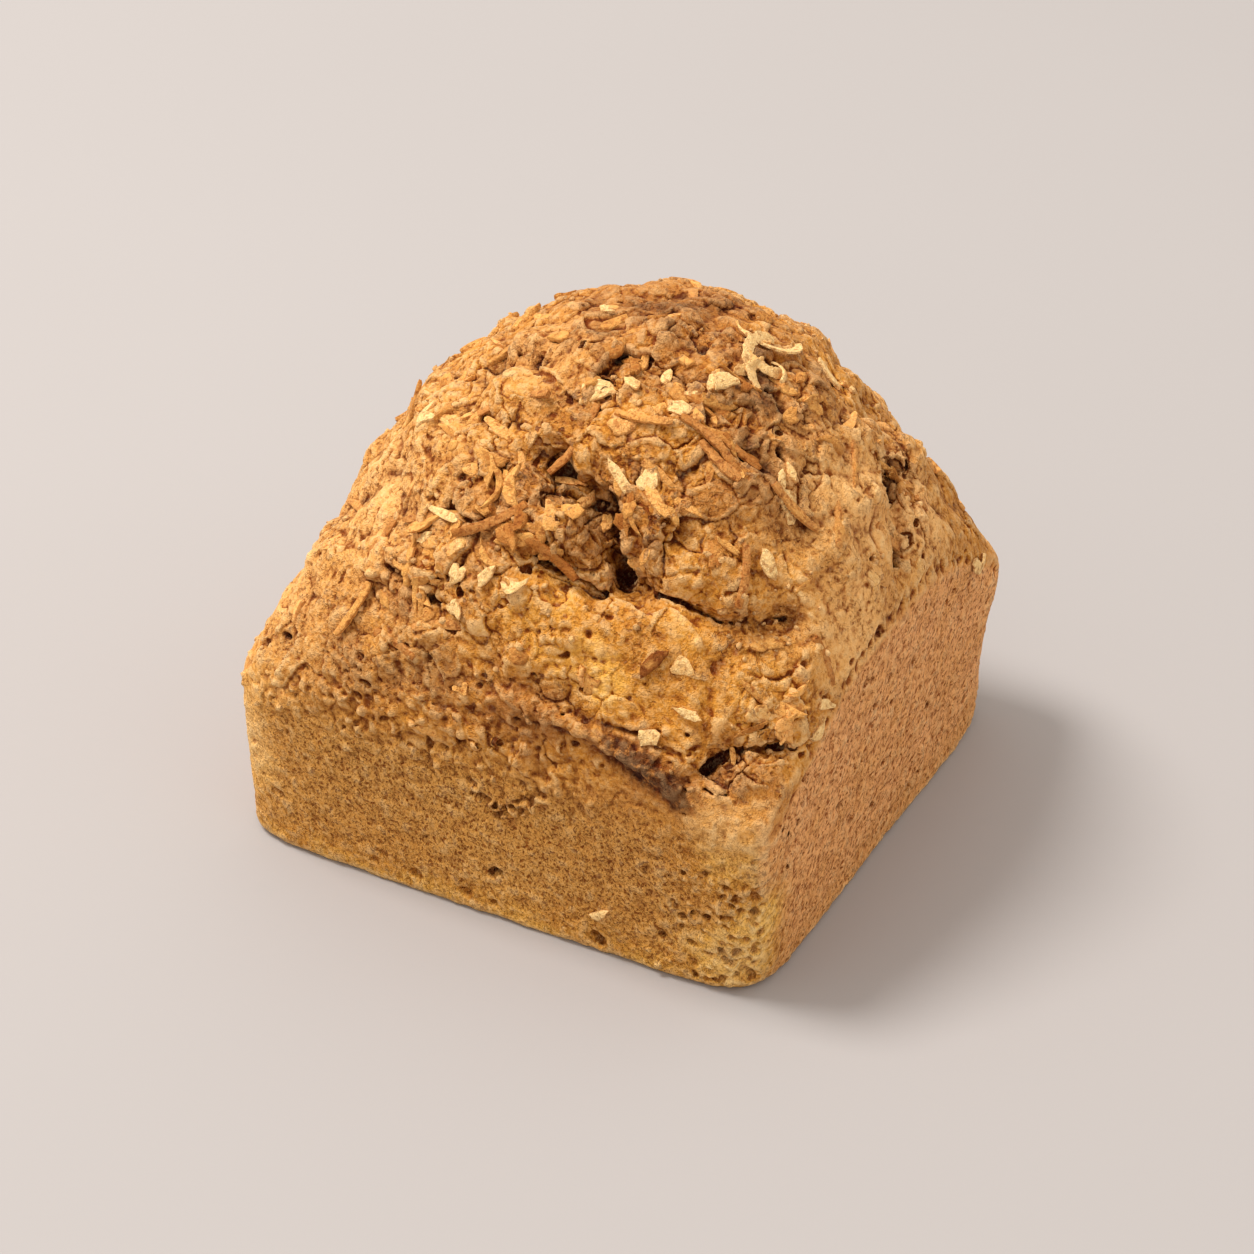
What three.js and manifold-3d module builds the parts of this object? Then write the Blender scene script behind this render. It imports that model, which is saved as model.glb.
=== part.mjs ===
// A small square coconut cake, baked in a tin: plain pale-brown walls under a tall craggy dome,
// with toasted threads, pale chips and curls of coconut baked into the dome.
// Millimetres, +Z up, origin at the middle of the flat underside.
import * as THREE from 'three';
import { mergeVertices } from 'three/addons/utils/BufferGeometryUtils.js';
import Module from 'manifold-3d';

// The walls, shaped by the tin: half sizes at the underside, and how far they lean out per mm of height
const WALL_HALF_X = 52.1;
const WALL_HALF_Y = 50.6;
const WALL_FLARE_X = 0.0275;
const WALL_FLARE_Y = 0.026;
const WALL_CORNER_POWER = 10.2;
const BOTTOM_EDGE_INSET = 0.9;

// The dome: its curve starts inside the walls, square in plan, and turns round as it rises
const DOME_BASE_Z = 19.7;
const DOME_RISE = 75.6;
const DOME_HALF_X = 54.4;
const DOME_HALF_Y = 52.0;
const DOME_PROFILE_POWER = 2.15;
const DOME_SQUARE_POWER = 11.5;
const DOME_ROUND_POWER = 1.75;
const DOME_ROUNDING_START_Z = 26.5;
const DOME_ROUNDING_REACH = 14;
const DOME_LEAN_X = 7.5;
const DOME_LEAN_Y = -1.8;

// Rays that find the surface leave this point of the axis
const CORE_Z = 25;
const RAY_LENGTH = 120;
const RAY_HALVINGS = 34;
const NORMAL_STEP = 0.4;

// Relief of the crust: broad swells, crags, and small clumps between them
const SWELL = { size: 30, height: 1.1, seed: 11 };
const CRAG = { size: 11, height: 2.6, seed: 23 };
const CLUMP = { size: 6, height: 0.9, seed: 37 };
const CRAG_MIDDLE = 0.25;
const CROWN_EDGE = 4;
const WALL_SWELL_SHARE = 0.3;

// Where the crags fade out: the yellow front slope and the smooth patch beside the right wall
const SMOOTH_PATCHES = [
  { at: [30, -45, 55], reach: 17, share: 0.75 },
  { at: [52, -14, 56], reach: 10, share: 0.8 },
];

// Lumps that lift the surface, or sink it: corners of the rim, a broken lump in front, two flatter slopes
const LUMPS = [
  { at: [-49, -46, 39], reach: 8, height: 1.4 },
  { at: [50, 45, 31], reach: 8, height: 1.5 },
  { at: [51, -47, 37], reach: 7, height: 2.0 },
  { at: [46, -45, 42], reach: 4.5, height: 1.8 },
  { at: [-37, -30, 60], reach: 18, height: -2.0 },
  { at: [44, 17, 71], reach: 15, height: -1.2 },
];

// Crevices in the crust, each along a few points of the dome
const CREVICES = [
  { path: [[3, -32, 83], [11, -34, 80], [16, -36, 77], [18, -38, 74], [21, -40, 69]], width: 4.2, depth: 6 },
  { path: [[21, -40, 69], [32, -37, 66], [38, -35, 63], [46, -27, 62]], width: 2.6, depth: 2.8 },
  { path: [[16, -42, 67], [6, -42, 70]], width: 3, depth: 3.5 },
  { path: [[41, -48, 43], [44, -45, 46], [50, -39, 45]], width: 2.6, depth: 2.4 },
  { path: [[36, 21, 76], [44, 14, 72], [49, 8, 66], [52, 3, 58]], width: 3, depth: 2.2 },
  { path: [[-24, 18, 84], [-30, 25, 76], [-31, 32, 68]], width: 3.2, depth: 3 },
  { path: [[12, 33, 80], [4, 38, 73], [-6, 40, 68]], width: 3, depth: 3 },
];

// Mesh of the body: squares along each side of the dome's grid, and heights of the rows below it
const DOME_GRID = 48;
const WALL_ROWS = [20, 14.5, 9, 4, 0.9];

// Kinds of coconut flake, in mm. Curl is the turn of the strip from end to end, in degrees.
const THREAD = { length: [8, 15], width: [1.7, 2.3], thickness: 1.3, curl: 35, segments: 3 };
const CHIP = { length: [3.6, 5.6], width: [2.2, 3.4], thickness: 1.2, curl: 15, segments: 1 };
const CURL = { length: [13, 16], width: [1.6, 2.0], thickness: 1.2, curl: 190, segments: 6 };
const FLAKE_END_TAPER = 0.35;
const FLAKE_ARCH = 0.07;
const FLAKE_SINK = 0.15;
const FLAKE_CURL_SPREAD = 0.4;

// The flakes that stand out, by kind, place and heading in degrees from level, counter-clockwise
const CHOSEN_FLAKES = [
  { kind: THREAD, at: [27, -20, 86], heading: -53 },
  { kind: THREAD, at: [29, -22, 84], heading: -50 },
  { kind: THREAD, at: [31, -18, 84], heading: -57 },
  { kind: CURL, at: [24, -2, 93], heading: 20 },
  { kind: CURL, at: [27, 3, 91], heading: 110 },
  { kind: CURL, at: [53, 33, 40], heading: -20 },
  { kind: CHIP, at: [31, -49, 47], heading: 15 },
  { kind: CHIP, at: [24, -11, 91], heading: 0 },
  { kind: CHIP, at: [-7, -44, 64], heading: 80 },
  { kind: CHIP, at: [-1, -44, 66], heading: 60 },
  { kind: CHIP, at: [4, -44, 65], heading: 10 },
  { kind: THREAD, at: [16, -23, 89], heading: 30 },
  { kind: THREAD, at: [41, -17, 76], heading: -60 },
  { kind: THREAD, at: [-27, -46, 52], heading: 55 },
  { kind: THREAD, at: [-3, -40, 73], heading: 40 },
  { kind: THREAD, at: [8, -41, 71], heading: -45 },
];

// The flakes strewn over the rest of the dome: longest first, evenly apart
const STREWN_THREADS = 26;
const STREWN_CHIPS = 24;
const STREWN_LOWEST_Z = 50;
const STREWN_SPACING = 9;
const STREWN_TRIES = 4000;
const RANDOM_SEED = 20418;

const CRUST_COLOUR = 0xc08a4a;
const CRUST_ROUGHNESS = 0.85;

const AXIS_UP = new THREE.Vector3(0, 0, 1);
const CORE = new THREE.Vector3(0, 0, CORE_Z);

// Seeded draws from 0 to 1
function randomSource(seed) {
  let state = seed >>> 0;
  return () => {
    state = (state + 0x6d2b79f5) >>> 0;
    let mixed = Math.imul(state ^ (state >>> 15), state | 1);
    mixed ^= mixed + Math.imul(mixed ^ (mixed >>> 7), mixed | 61);
    return ((mixed ^ (mixed >>> 14)) >>> 0) / 4294967296;
  };
}

// A fixed number from -1 to 1 for each lattice point
function latticeValue(i, j, k, seed) {
  let mixed = Math.imul(i, 0x27d4eb2f) ^ Math.imul(j, 0x165667b1) ^ Math.imul(k, 0x9e3779b1) ^ seed;
  mixed = Math.imul(mixed ^ (mixed >>> 15), 0x85ebca6b);
  mixed = Math.imul(mixed ^ (mixed >>> 13), 0xc2b2ae35);
  return ((mixed ^ (mixed >>> 16)) >>> 0) / 2147483648 - 1;
}

function fade(t) {
  return t * t * t * (t * (6 * t - 15) + 10);
}

// Smooth noise from -1 to 1 over features of a layer's size
function noise(point, { size, seed }) {
  const place = [point.x / size, point.y / size, point.z / size];
  const cell = place.map(Math.floor);
  const blend = place.map((value, axis) => fade(value - cell[axis]));
  let sum = 0;
  for (let corner = 0; corner < 8; corner += 1) {
    const step = [corner & 1, (corner >> 1) & 1, corner >> 2];
    const weight = step.reduce((w, s, axis) => w * (s ? blend[axis] : 1 - blend[axis]), 1);
    sum += weight * latticeValue(cell[0] + step[0], cell[1] + step[1], cell[2] + step[2], seed);
  }
  return sum;
}

function smoothStep(low, high, value) {
  const t = THREE.MathUtils.clamp((value - low) / (high - low), 0, 1);
  return t * t * (3 - 2 * t);
}

function superellipse(u, v, power) {
  return Math.pow(Math.pow(Math.abs(u), power) + Math.pow(Math.abs(v), power), 1 / power);
}

// Distance beyond the tin's walls, negative inside
function beyondWalls(p) {
  const across = p.x / (WALL_HALF_X + WALL_FLARE_X * p.z);
  const along = p.y / (WALL_HALF_Y + WALL_FLARE_Y * p.z);
  return (superellipse(across, along, WALL_CORNER_POWER) - 1) * WALL_HALF_Y;
}

// Distance beyond the dome's curve, negative inside
function beyondDome(p) {
  const rise = Math.max(0, (p.z - DOME_BASE_Z) / DOME_RISE);
  const squareness = Math.exp(-Math.max(0, p.z - DOME_ROUNDING_START_Z) / DOME_ROUNDING_REACH);
  const power = DOME_ROUND_POWER + (DOME_SQUARE_POWER - DOME_ROUND_POWER) * squareness;
  const across = (p.x - DOME_LEAN_X * rise) / DOME_HALF_X;
  const along = (p.y - DOME_LEAN_Y * rise) / DOME_HALF_Y;
  const plan = superellipse(across, along, power);
  return (superellipse(plan, rise, DOME_PROFILE_POWER) - 1) * DOME_HALF_X;
}

function beyondBody(p) {
  return Math.max(beyondWalls(p), beyondDome(p));
}

// The plain body's surface along a ray, found by halving
function plainSurface(start, direction) {
  let inside = 0;
  let outside = RAY_LENGTH;
  const point = new THREE.Vector3();
  for (let turn = 0; turn < RAY_HALVINGS; turn += 1) {
    const middle = (inside + outside) / 2;
    point.copy(start).addScaledVector(direction, middle);
    if (beyondBody(point) < 0) inside = middle;
    else outside = middle;
  }
  return point;
}

function outwardNormal(point) {
  const slope = new THREE.Vector3();
  for (const axis of ['x', 'y', 'z']) {
    const ahead = point.clone();
    const behind = point.clone();
    ahead[axis] += NORMAL_STEP;
    behind[axis] -= NORMAL_STEP;
    slope[axis] = beyondBody(ahead) - beyondBody(behind);
  }
  return slope.normalize();
}

function distanceToPath(point, path) {
  const nearest = new THREE.Vector3();
  const span = new THREE.Line3();
  let least = Infinity;
  for (let i = 1; i < path.length; i += 1) {
    span.set(new THREE.Vector3(...path[i - 1]), new THREE.Vector3(...path[i]));
    span.closestPointToPoint(point, true, nearest);
    least = Math.min(least, nearest.distanceTo(point));
  }
  return least;
}

// A hump of height 1 that fades to nothing a few reaches away
function hump(distance, reach) {
  return Math.exp(-((distance / reach) ** 2));
}

// How far the crust stands proud of the plain body, in mm
function relief(point) {
  const crown = smoothStep(0, CROWN_EDGE, -beyondWalls(point));
  let crags = crown;
  for (const patch of SMOOTH_PATCHES) {
    const distance = point.distanceTo(new THREE.Vector3(...patch.at));
    crags *= 1 - patch.share * hump(distance, patch.reach);
  }
  const swellShare = WALL_SWELL_SHARE + (1 - WALL_SWELL_SHARE) * crown;
  let height = swellShare * SWELL.height * noise(point, SWELL);
  height += crags * CRAG.height * (Math.abs(noise(point, CRAG)) - CRAG_MIDDLE);
  height += crags * CLUMP.height * noise(point, CLUMP);
  for (const lump of LUMPS) {
    const distance = point.distanceTo(new THREE.Vector3(...lump.at));
    height += lump.height * hump(distance, lump.reach);
  }
  for (const crevice of CREVICES) {
    height -= crevice.depth * hump(distanceToPath(point, crevice.path), crevice.width);
  }
  return height;
}

function crustSurface(start, direction) {
  const point = plainSurface(start, direction);
  return point.addScaledVector(outwardNormal(point), relief(point));
}

// A square of side 2 laid over the upper half of a sphere, its rim level
function domeDirection(u, v) {
  const reach = Math.max(Math.abs(u), Math.abs(v));
  if (reach === 0) return AXIS_UP.clone();
  const quarter = Math.PI / 4;
  let turn;
  if (Math.abs(u) >= Math.abs(v)) turn = u > 0 ? quarter * (v / u) : Math.PI + quarter * (v / u);
  else turn = (v > 0 ? 1 : -1) * 2 * quarter - quarter * (u / v);
  const tilt = reach * Math.PI / 2;
  return new THREE.Vector3(Math.sin(tilt) * Math.cos(turn), Math.sin(tilt) * Math.sin(turn), Math.cos(tilt));
}

// Grid steps round the rim of the dome's square, counter-clockwise from its corner
function rimSteps() {
  const steps = [];
  for (let i = 0; i < DOME_GRID; i += 1) steps.push([i, 0]);
  for (let i = 0; i < DOME_GRID; i += 1) steps.push([DOME_GRID, i]);
  for (let i = DOME_GRID; i > 0; i -= 1) steps.push([i, DOME_GRID]);
  for (let i = DOME_GRID; i > 0; i -= 1) steps.push([0, i]);
  return steps;
}

// The body with its crust: a dome over a square grid, rows down the walls, and a flat underside
function bodyGeometry() {
  const positions = [];
  const triangles = [];
  const addPoint = (point) => positions.push(point.x, point.y, point.z) / 3 - 1;
  const gridDirection = (i, j) => domeDirection((2 * i) / DOME_GRID - 1, (2 * j) / DOME_GRID - 1);
  const gridIndex = (i, j) => i * (DOME_GRID + 1) + j;

  for (let i = 0; i <= DOME_GRID; i += 1) {
    for (let j = 0; j <= DOME_GRID; j += 1) addPoint(crustSurface(CORE, gridDirection(i, j)));
  }
  for (let i = 0; i < DOME_GRID; i += 1) {
    for (let j = 0; j < DOME_GRID; j += 1) {
      const [a, b] = [gridIndex(i, j), gridIndex(i + 1, j)];
      const [c, d] = [gridIndex(i + 1, j + 1), gridIndex(i, j + 1)];
      if ((i + j) % 2) triangles.push(a, b, c, a, c, d);
      else triangles.push(a, b, d, b, c, d);
    }
  }

  const steps = rimSteps();
  const joinRows = (upper, lower) => {
    upper.forEach((corner, i) => {
      const next = (i + 1) % upper.length;
      triangles.push(corner, lower[i], upper[next], upper[next], lower[i], lower[next]);
    });
  };
  let upper = steps.map(([i, j]) => gridIndex(i, j));
  for (const height of WALL_ROWS) {
    const start = new THREE.Vector3(0, 0, height);
    const row = steps.map(([i, j]) => {
      const point = crustSurface(start, gridDirection(i, j));
      point.z = height;
      return addPoint(point);
    });
    joinRows(upper, row);
    upper = row;
  }
  const underside = steps.map(([i, j]) => {
    const direction = gridDirection(i, j);
    const point = plainSurface(new THREE.Vector3(), direction);
    return addPoint(point.addScaledVector(direction, -BOTTOM_EDGE_INSET).setZ(0));
  });
  joinRows(upper, underside);
  const middle = addPoint(new THREE.Vector3());
  underside.forEach((corner, i) => triangles.push(corner, middle, underside[(i + 1) % underside.length]));

  const geometry = new THREE.BufferGeometry();
  geometry.setAttribute('position', new THREE.Float32BufferAttribute(positions, 3));
  geometry.setIndex(triangles);
  return geometry;
}

// A flat strip, narrowed to its ends, bent sideways by its curl and arched off the crust
function flakeGeometry(kind, length, width, curl) {
  const geometry = new THREE.BoxGeometry(length, width, kind.thickness, kind.segments, 1, 1);
  const position = geometry.attributes.position;
  const turn = THREE.MathUtils.degToRad(curl);
  const radius = length / turn;
  for (let i = 0; i < position.count; i += 1) {
    const along = position.getX(i) / length;
    const narrowing = 1 - FLAKE_END_TAPER * (2 * along) ** 2;
    const across = position.getY(i) * narrowing;
    const angle = along * turn;
    const arch = FLAKE_ARCH * length * (1 - (2 * along) ** 2);
    const height = position.getZ(i) + kind.thickness / 2 - FLAKE_SINK + arch;
    const arm = radius - across;
    position.setXYZ(i, arm * Math.sin(angle), radius - arm * Math.cos(angle), height);
  }
  geometry.deleteAttribute('normal');
  geometry.deleteAttribute('uv');
  return mergeVertices(geometry);
}

// The flake of a kind, turned to its heading and laid where the ray from the core leaves the crust
function laidFlake(kind, direction, heading, random) {
  const draw = ([low, high]) => low + (high - low) * random();
  const length = draw(kind.length);
  const width = draw(kind.width);
  const curl = kind.curl * (1 - FLAKE_CURL_SPREAD * random()) * (random() < 0.5 ? -1 : 1);
  const plain = plainSurface(CORE, direction);
  const normal = outwardNormal(plain);
  const level = new THREE.Vector3().crossVectors(AXIS_UP, normal).normalize();
  const uphill = new THREE.Vector3().crossVectors(normal, level);
  const angle = THREE.MathUtils.degToRad(heading);
  const ahead = level.clone().multiplyScalar(Math.cos(angle)).addScaledVector(uphill, Math.sin(angle));
  const side = new THREE.Vector3().crossVectors(normal, ahead);
  const place = new THREE.Matrix4().makeBasis(ahead, side, normal);
  place.setPosition(plain.addScaledVector(normal, relief(plain)));
  return flakeGeometry(kind, length, width, curl).applyMatrix4(place);
}

// Every flake: the chosen ones, then those strewn over the dome at least a spacing apart
function flakeGeometries() {
  const random = randomSource(RANDOM_SEED);
  const places = [];
  const flakes = CHOSEN_FLAKES.map(({ kind, at, heading }) => {
    const place = new THREE.Vector3(...at);
    places.push(place);
    return laidFlake(kind, place.clone().sub(CORE).normalize(), heading, random);
  });
  const wanted = CHOSEN_FLAKES.length + STREWN_THREADS + STREWN_CHIPS;
  for (let turn = 0; turn < STREWN_TRIES && flakes.length < wanted; turn += 1) {
    const direction = domeDirection(2 * random() - 1, 2 * random() - 1);
    const heading = 360 * random();
    const point = crustSurface(CORE, direction);
    const clear = places.every((place) => place.distanceTo(point) > STREWN_SPACING);
    if (point.z < STREWN_LOWEST_Z || !clear) continue;
    places.push(point);
    const kind = flakes.length < CHOSEN_FLAKES.length + STREWN_THREADS ? THREAD : CHIP;
    flakes.push(laidFlake(kind, direction, heading, random));
  }
  return flakes;
}

// The body and its flakes as one closed solid, without loose scraps
async function fusedCake() {
  const wasm = await Module();
  wasm.setup();
  const solid = (geometry) => new wasm.Manifold(new wasm.Mesh({
    numProp: 3,
    vertProperties: new Float32Array(geometry.attributes.position.array),
    triVerts: new Uint32Array(geometry.index.array),
  }));
  let cake = solid(bodyGeometry());
  for (const flake of flakeGeometries()) cake = cake.add(solid(flake));
  const [largest] = cake.decompose().sort((a, b) => b.volume() - a.volume());
  const mesh = largest.getMesh();
  const geometry = new THREE.BufferGeometry();
  geometry.setAttribute('position', new THREE.Float32BufferAttribute(mesh.vertProperties, 3));
  geometry.setIndex(Array.from(mesh.triVerts));
  geometry.computeVertexNormals();
  return geometry;
}

const crust = new THREE.MeshStandardMaterial({
  color: CRUST_COLOUR,
  roughness: CRUST_ROUGHNESS,
  metalness: 0,
});
const cakeMesh = new THREE.Mesh(await fusedCake(), crust);
cakeMesh.name = 'cake';

const coconutCake = new THREE.Group();
coconutCake.add(cakeMesh);

export default coconutCake;
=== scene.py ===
from math import cos, pi, radians, sin

import bmesh
import bpy
import numpy as np
import openvdb
from mathutils import Matrix, Vector
from mathutils.bvhtree import BVHTree


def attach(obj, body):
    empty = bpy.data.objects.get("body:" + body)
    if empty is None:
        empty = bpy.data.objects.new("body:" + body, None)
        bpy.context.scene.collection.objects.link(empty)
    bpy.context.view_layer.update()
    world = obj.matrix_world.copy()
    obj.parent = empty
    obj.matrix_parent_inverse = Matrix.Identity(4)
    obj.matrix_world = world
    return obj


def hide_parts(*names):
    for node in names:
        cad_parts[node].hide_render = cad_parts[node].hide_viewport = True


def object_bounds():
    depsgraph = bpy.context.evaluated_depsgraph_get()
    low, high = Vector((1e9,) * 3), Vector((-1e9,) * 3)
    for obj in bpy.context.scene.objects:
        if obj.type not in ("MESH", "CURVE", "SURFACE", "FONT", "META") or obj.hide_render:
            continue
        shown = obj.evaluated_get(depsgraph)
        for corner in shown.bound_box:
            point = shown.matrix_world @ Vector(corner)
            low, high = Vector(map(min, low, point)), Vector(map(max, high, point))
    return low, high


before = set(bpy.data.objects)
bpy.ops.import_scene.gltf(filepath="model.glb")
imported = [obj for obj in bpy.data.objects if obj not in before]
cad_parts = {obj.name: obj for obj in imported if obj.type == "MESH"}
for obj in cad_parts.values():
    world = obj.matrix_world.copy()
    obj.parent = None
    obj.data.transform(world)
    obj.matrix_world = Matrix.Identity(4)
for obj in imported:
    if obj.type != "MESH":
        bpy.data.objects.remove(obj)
CAD_LOW, CAD_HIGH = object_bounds()

bl_info = {
    "name": "Coconut Cake",
    "version": (1, 0, 0),
    "blender": (4, 5, 0),
    "location": "View3D > Sidebar > Cake",
    "description": "Small square coconut cake with a craggy dome and coconut flakes baked into it",
    "category": "Add Mesh",
}

# The form is worked out in millimetres, and the meshes are made in metres
MM = 0.001
CAKE_NODE = "cake"
BODY = "root"
UP = np.array([0.0, 0.0, 1.0])


def linear(red, green, blue):
    """A screen colour of 0 to 255 as the linear colour that the shaders take."""
    shares = (value / 255 for value in (red, green, blue))
    return tuple(v / 12.92 if v <= 0.04045 else ((v + 0.055) / 1.055) ** 2.4 for v in shares)


def length(label, words, millimetres):
    return bpy.props.FloatProperty(
        name=label, description=words, default=millimetres * MM, unit="LENGTH", precision=5
    )


def number(label, words, value):
    return bpy.props.FloatProperty(name=label, description=words, default=value, precision=4)


def angle(label, words, degrees):
    return bpy.props.FloatProperty(
        name=label, description=words, default=radians(degrees), subtype="ANGLE"
    )


def count(label, words, value):
    return bpy.props.IntProperty(name=label, description=words, default=value, min=0)


def colour(label, words, red, green, blue):
    return bpy.props.FloatVectorProperty(
        name=label, description=words, default=linear(red, green, blue), subtype="COLOR", min=0, max=1
    )


class LoafSettings(bpy.types.PropertyGroup):
    """Sizes of the baked body."""

    wall_half_x: length("Wall half width", "Half the width at the underside", 52.1)
    wall_half_y: length("Wall half depth", "Half the depth at the underside", 50.6)
    dome_base: length("Dome base", "Height where the dome's curve starts", 19.7)
    dome_rise: length("Dome rise", "Height of the dome over its base", 75.6)
    dome_half_x: length("Dome half width", "Half the width of the dome's curve", 54.4)
    dome_half_y: length("Dome half depth", "Half the depth of the dome's curve", 52.0)
    lean_x: length("Lean right", "Lean of the dome's top to the right", 7.5)
    lean_y: length("Lean back", "Lean of the dome's top to the back", -1.8)
    rim_round: length("Rim rounding", "Rounding between the walls and the dome", 2.4)
    right_rim_round: length("Right rim rounding", "Rounding of the right wall's top edge", 0.3)
    voxel: length("Grain of the form", "Spacing of the distance grid", 0.5)
    parting: length("Parting", "Height that parts base and crown", 56.0)
    triangles: count("Triangles", "Most triangles in base and crown together", 376000)
    nodules: count("Nodules", "Lumps of crumb fused to the craggy crust", 3000)
    shoulder_nodules: count("Shoulder nodules", "Small lumps on the shoulder under the rim", 1300)
    corner_nodules: count("Corner nodules", "Crumbs on the broken front corner", 130)
    corner_pits: count("Corner pits", "Pores in the broken front corner", 110)
    ledge_nodules: count("Ledge nodules", "Lumps on the ledge over the front corner", 220)
    crust_pits: count("Crust pits", "Pits in the dome's crust", 300)
    shoulder_pits: count("Shoulder pits", "Pores in the shoulder under the rim", 1500)
    wall_pits: count("Wall pits", "Larger pores in the four walls", 260)


class FlakeSettings(bpy.types.PropertyGroup):
    """Numbers and sizes of the coconut."""

    strewn_threads: count("Strewn threads", "Long toasted threads strewn over the dome", 26)
    strewn_chips: count("Strewn chips", "Pale chips strewn over the dome", 24)
    spacing: length("Spacing", "Least distance between the large flakes", 9.0)
    lowest: length("Lowest flake", "Least height of a strewn flake", 50.0)
    shards: count("Shards", "Flat shards baked into the crust", 3400)
    shard_length: length("Shard length", "Usual length of a baked-in shard", 4.6)
    shard_width: length("Shard width", "Usual width of a baked-in shard", 1.9)
    crumbs: count("Crumbs", "Loose crumbs on the crust", 2200)
    crumb_size: length("Crumb size", "Usual width of a loose crumb", 1.0)


class FinishSettings(bpy.types.PropertyGroup):
    """Colours of the crust and the coconut."""

    pale_crumb: colour("Pale crumb", "Torn or thinly baked crumb", 255, 193, 88)
    golden: colour("Golden crust", "Crust over most of the dome", 214, 142, 50)
    brown: colour("Brown crust", "Well-baked crust", 180, 114, 50)
    burnt: colour("Burnt crust", "Scorched rim", 100, 55, 23)
    front_wall: colour("Front wall", "Wall browned by the tin", 222, 160, 80)
    side_wall: colour("Side wall", "Pinkish brown of the side walls", 255, 182, 116)
    tan: colour("Tan crust", "Smooth, dry crust of the slopes", 252, 190, 116)
    grey_crust: colour("Grey crust", "Dry, greyish tops of the rough shoulder", 168, 126, 78)
    cream: colour("Cream coconut", "Untoasted coconut", 255, 217, 152)
    toasted: colour("Toasted coconut", "Toasted coconut", 234, 174, 96)
    stick: colour("Stick of coconut", "Toasted thread", 214, 152, 86)
    dark_coconut: colour("Dark coconut", "Well-toasted coconut", 150, 88, 36)


class StageSettings(bpy.types.PropertyGroup):
    """Camera, light and floor."""

    lens: number("Lens", "Focal length in mm on a 36 mm sensor", 100.48)
    azimuth: angle("Azimuth", "Camera's turn round the cake", 28.05)
    elevation: angle("Elevation", "Camera's angle above the floor", 33.64)
    distance: length("Distance", "Camera's distance from its aim", 624.2)
    aim: bpy.props.FloatVectorProperty(
        name="Aim", description="Point that the camera looks at",
        default=(0.00055, 0.00037, 0.030), subtype="TRANSLATION", unit="LENGTH",
    )
    key_power: number("Key light", "Power of the soft light in watts", 25.0)
    sky_strength: number("Sky light", "Strength of the even light", 0.99)
    floor: colour("Floor", "Pale floor", 171, 164, 160)
    sky: colour("Sky", "Even light from all round", 255, 252, 248)


# Where the crags fade out, each a place, a reach and a share
SMOOTH_PATCHES = (((30, -45, 55), 17, 0.75), ((52, -14, 56), 10, 0.8))

# Lumps that lift or sink the surface, each a place, a reach, a height and whether it fades at the walls
LUMPS = (
    ((-49, -46, 39), 8, 1.4, False), ((50, 45, 31), 8, 1.5, False), ((51, -47, 37), 7, 2.0, True),
    ((46, -45, 42), 4.5, 1.8, True), ((-37, -30, 60), 18, -2.0, False), ((44, 17, 71), 15, -1.2, False),
)

# Crevices in the crust, each a path over the dome, a width, a depth and how far it gapes
CREVICES = (
    (((3, -32, 83), (11, -34, 80), (16, -36, 77), (18, -38, 74), (21, -40, 69)), 4.2, 6.0, 1.6),
    (((21, -40, 69), (32, -37, 66), (38, -35, 63), (46, -27, 62)), 2.6, 2.8, 0.25),
    (((16, -42, 67), (6, -42, 70)), 3.0, 3.5, 1.0),
    (((41, -48, 43), (44, -45, 46), (50, -39, 45)), 2.6, 2.4, 1.0),
    (((36, 21, 76), (44, 14, 72), (49, 8, 66), (52, 3, 58)), 3.0, 2.2, 1.0),
    (((-24, 18, 84), (-30, 25, 76), (-31, 32, 68)), 3.2, 3.0, 1.0),
    (((12, 33, 80), (4, 38, 73), (-6, 40, 68)), 3.0, 3.0, 1.0),
)

# Relief of the crust, in mm: broad swells, crags, and small clumps between them
SWELL = {"size": 30, "height": 1.1, "seed": 11}
CRAG = {"size": 11, "height": 2.6, "seed": 23}
CLUMP = {"size": 6, "height": 0.9, "seed": 37}
CRAG_MIDDLE = 0.25
CROWN_EDGE = 4.0
WALL_SWELL_SHARE = 0.3
INSIDE_WALLS = (0.5, 4)

# Finer relief of the visible crust: knobs and grit, drawn out by a drift, and the walls' grit
DRIFT = {"size": 7.0, "height": 2.2, "seed": 131}
KNOB = {"size": 4.6, "height": 1.1, "seed": 53}
GRIT = {"size": 2.3, "height": 0.35, "seed": 71}
WALL_GRIT = {"size": 1.9, "height": 0.22, "seed": 89}
KNOB_POWER = 0.7
KNOB_MIDDLE = 0.36

# Plates of broken crust, the cracks between them, and the noise that makes their edges ragged
PLATE = {"size": 5.6, "height": 1.3, "crack": 0.6, "seed": 201}
CHIPLET = {"size": 2.5, "height": 0.3, "crack": 0.2, "seed": 233}
CRACKED = {"size": 6.5, "seed": 281, "span": (-0.25, 0.35)}
RAGGED = ({"size": 5.0, "height": 1.5, "seed": 301}, {"size": 1.3, "height": 0.35, "seed": 331})
SAND = {"size": 0.9, "height": 0.12, "seed": 361}
SEED_SPREAD = 0.46
PLATE_STEP = 0.5
CRACK_EDGE = (0.03, 0.14)
LEAST_BROKEN = 0.25
BARELY_BROKEN = 0.03
DOME_EDGE = (0.3, 1.5)
QUIET_PATCHES = (
    ((-32, -30, 64), 14, 0.35), ((47, -8, 67), 13, 0.7), ((30, -45, 55), 13, 0.75), ((50, -20, 56), 9, 0.7),
)

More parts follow.
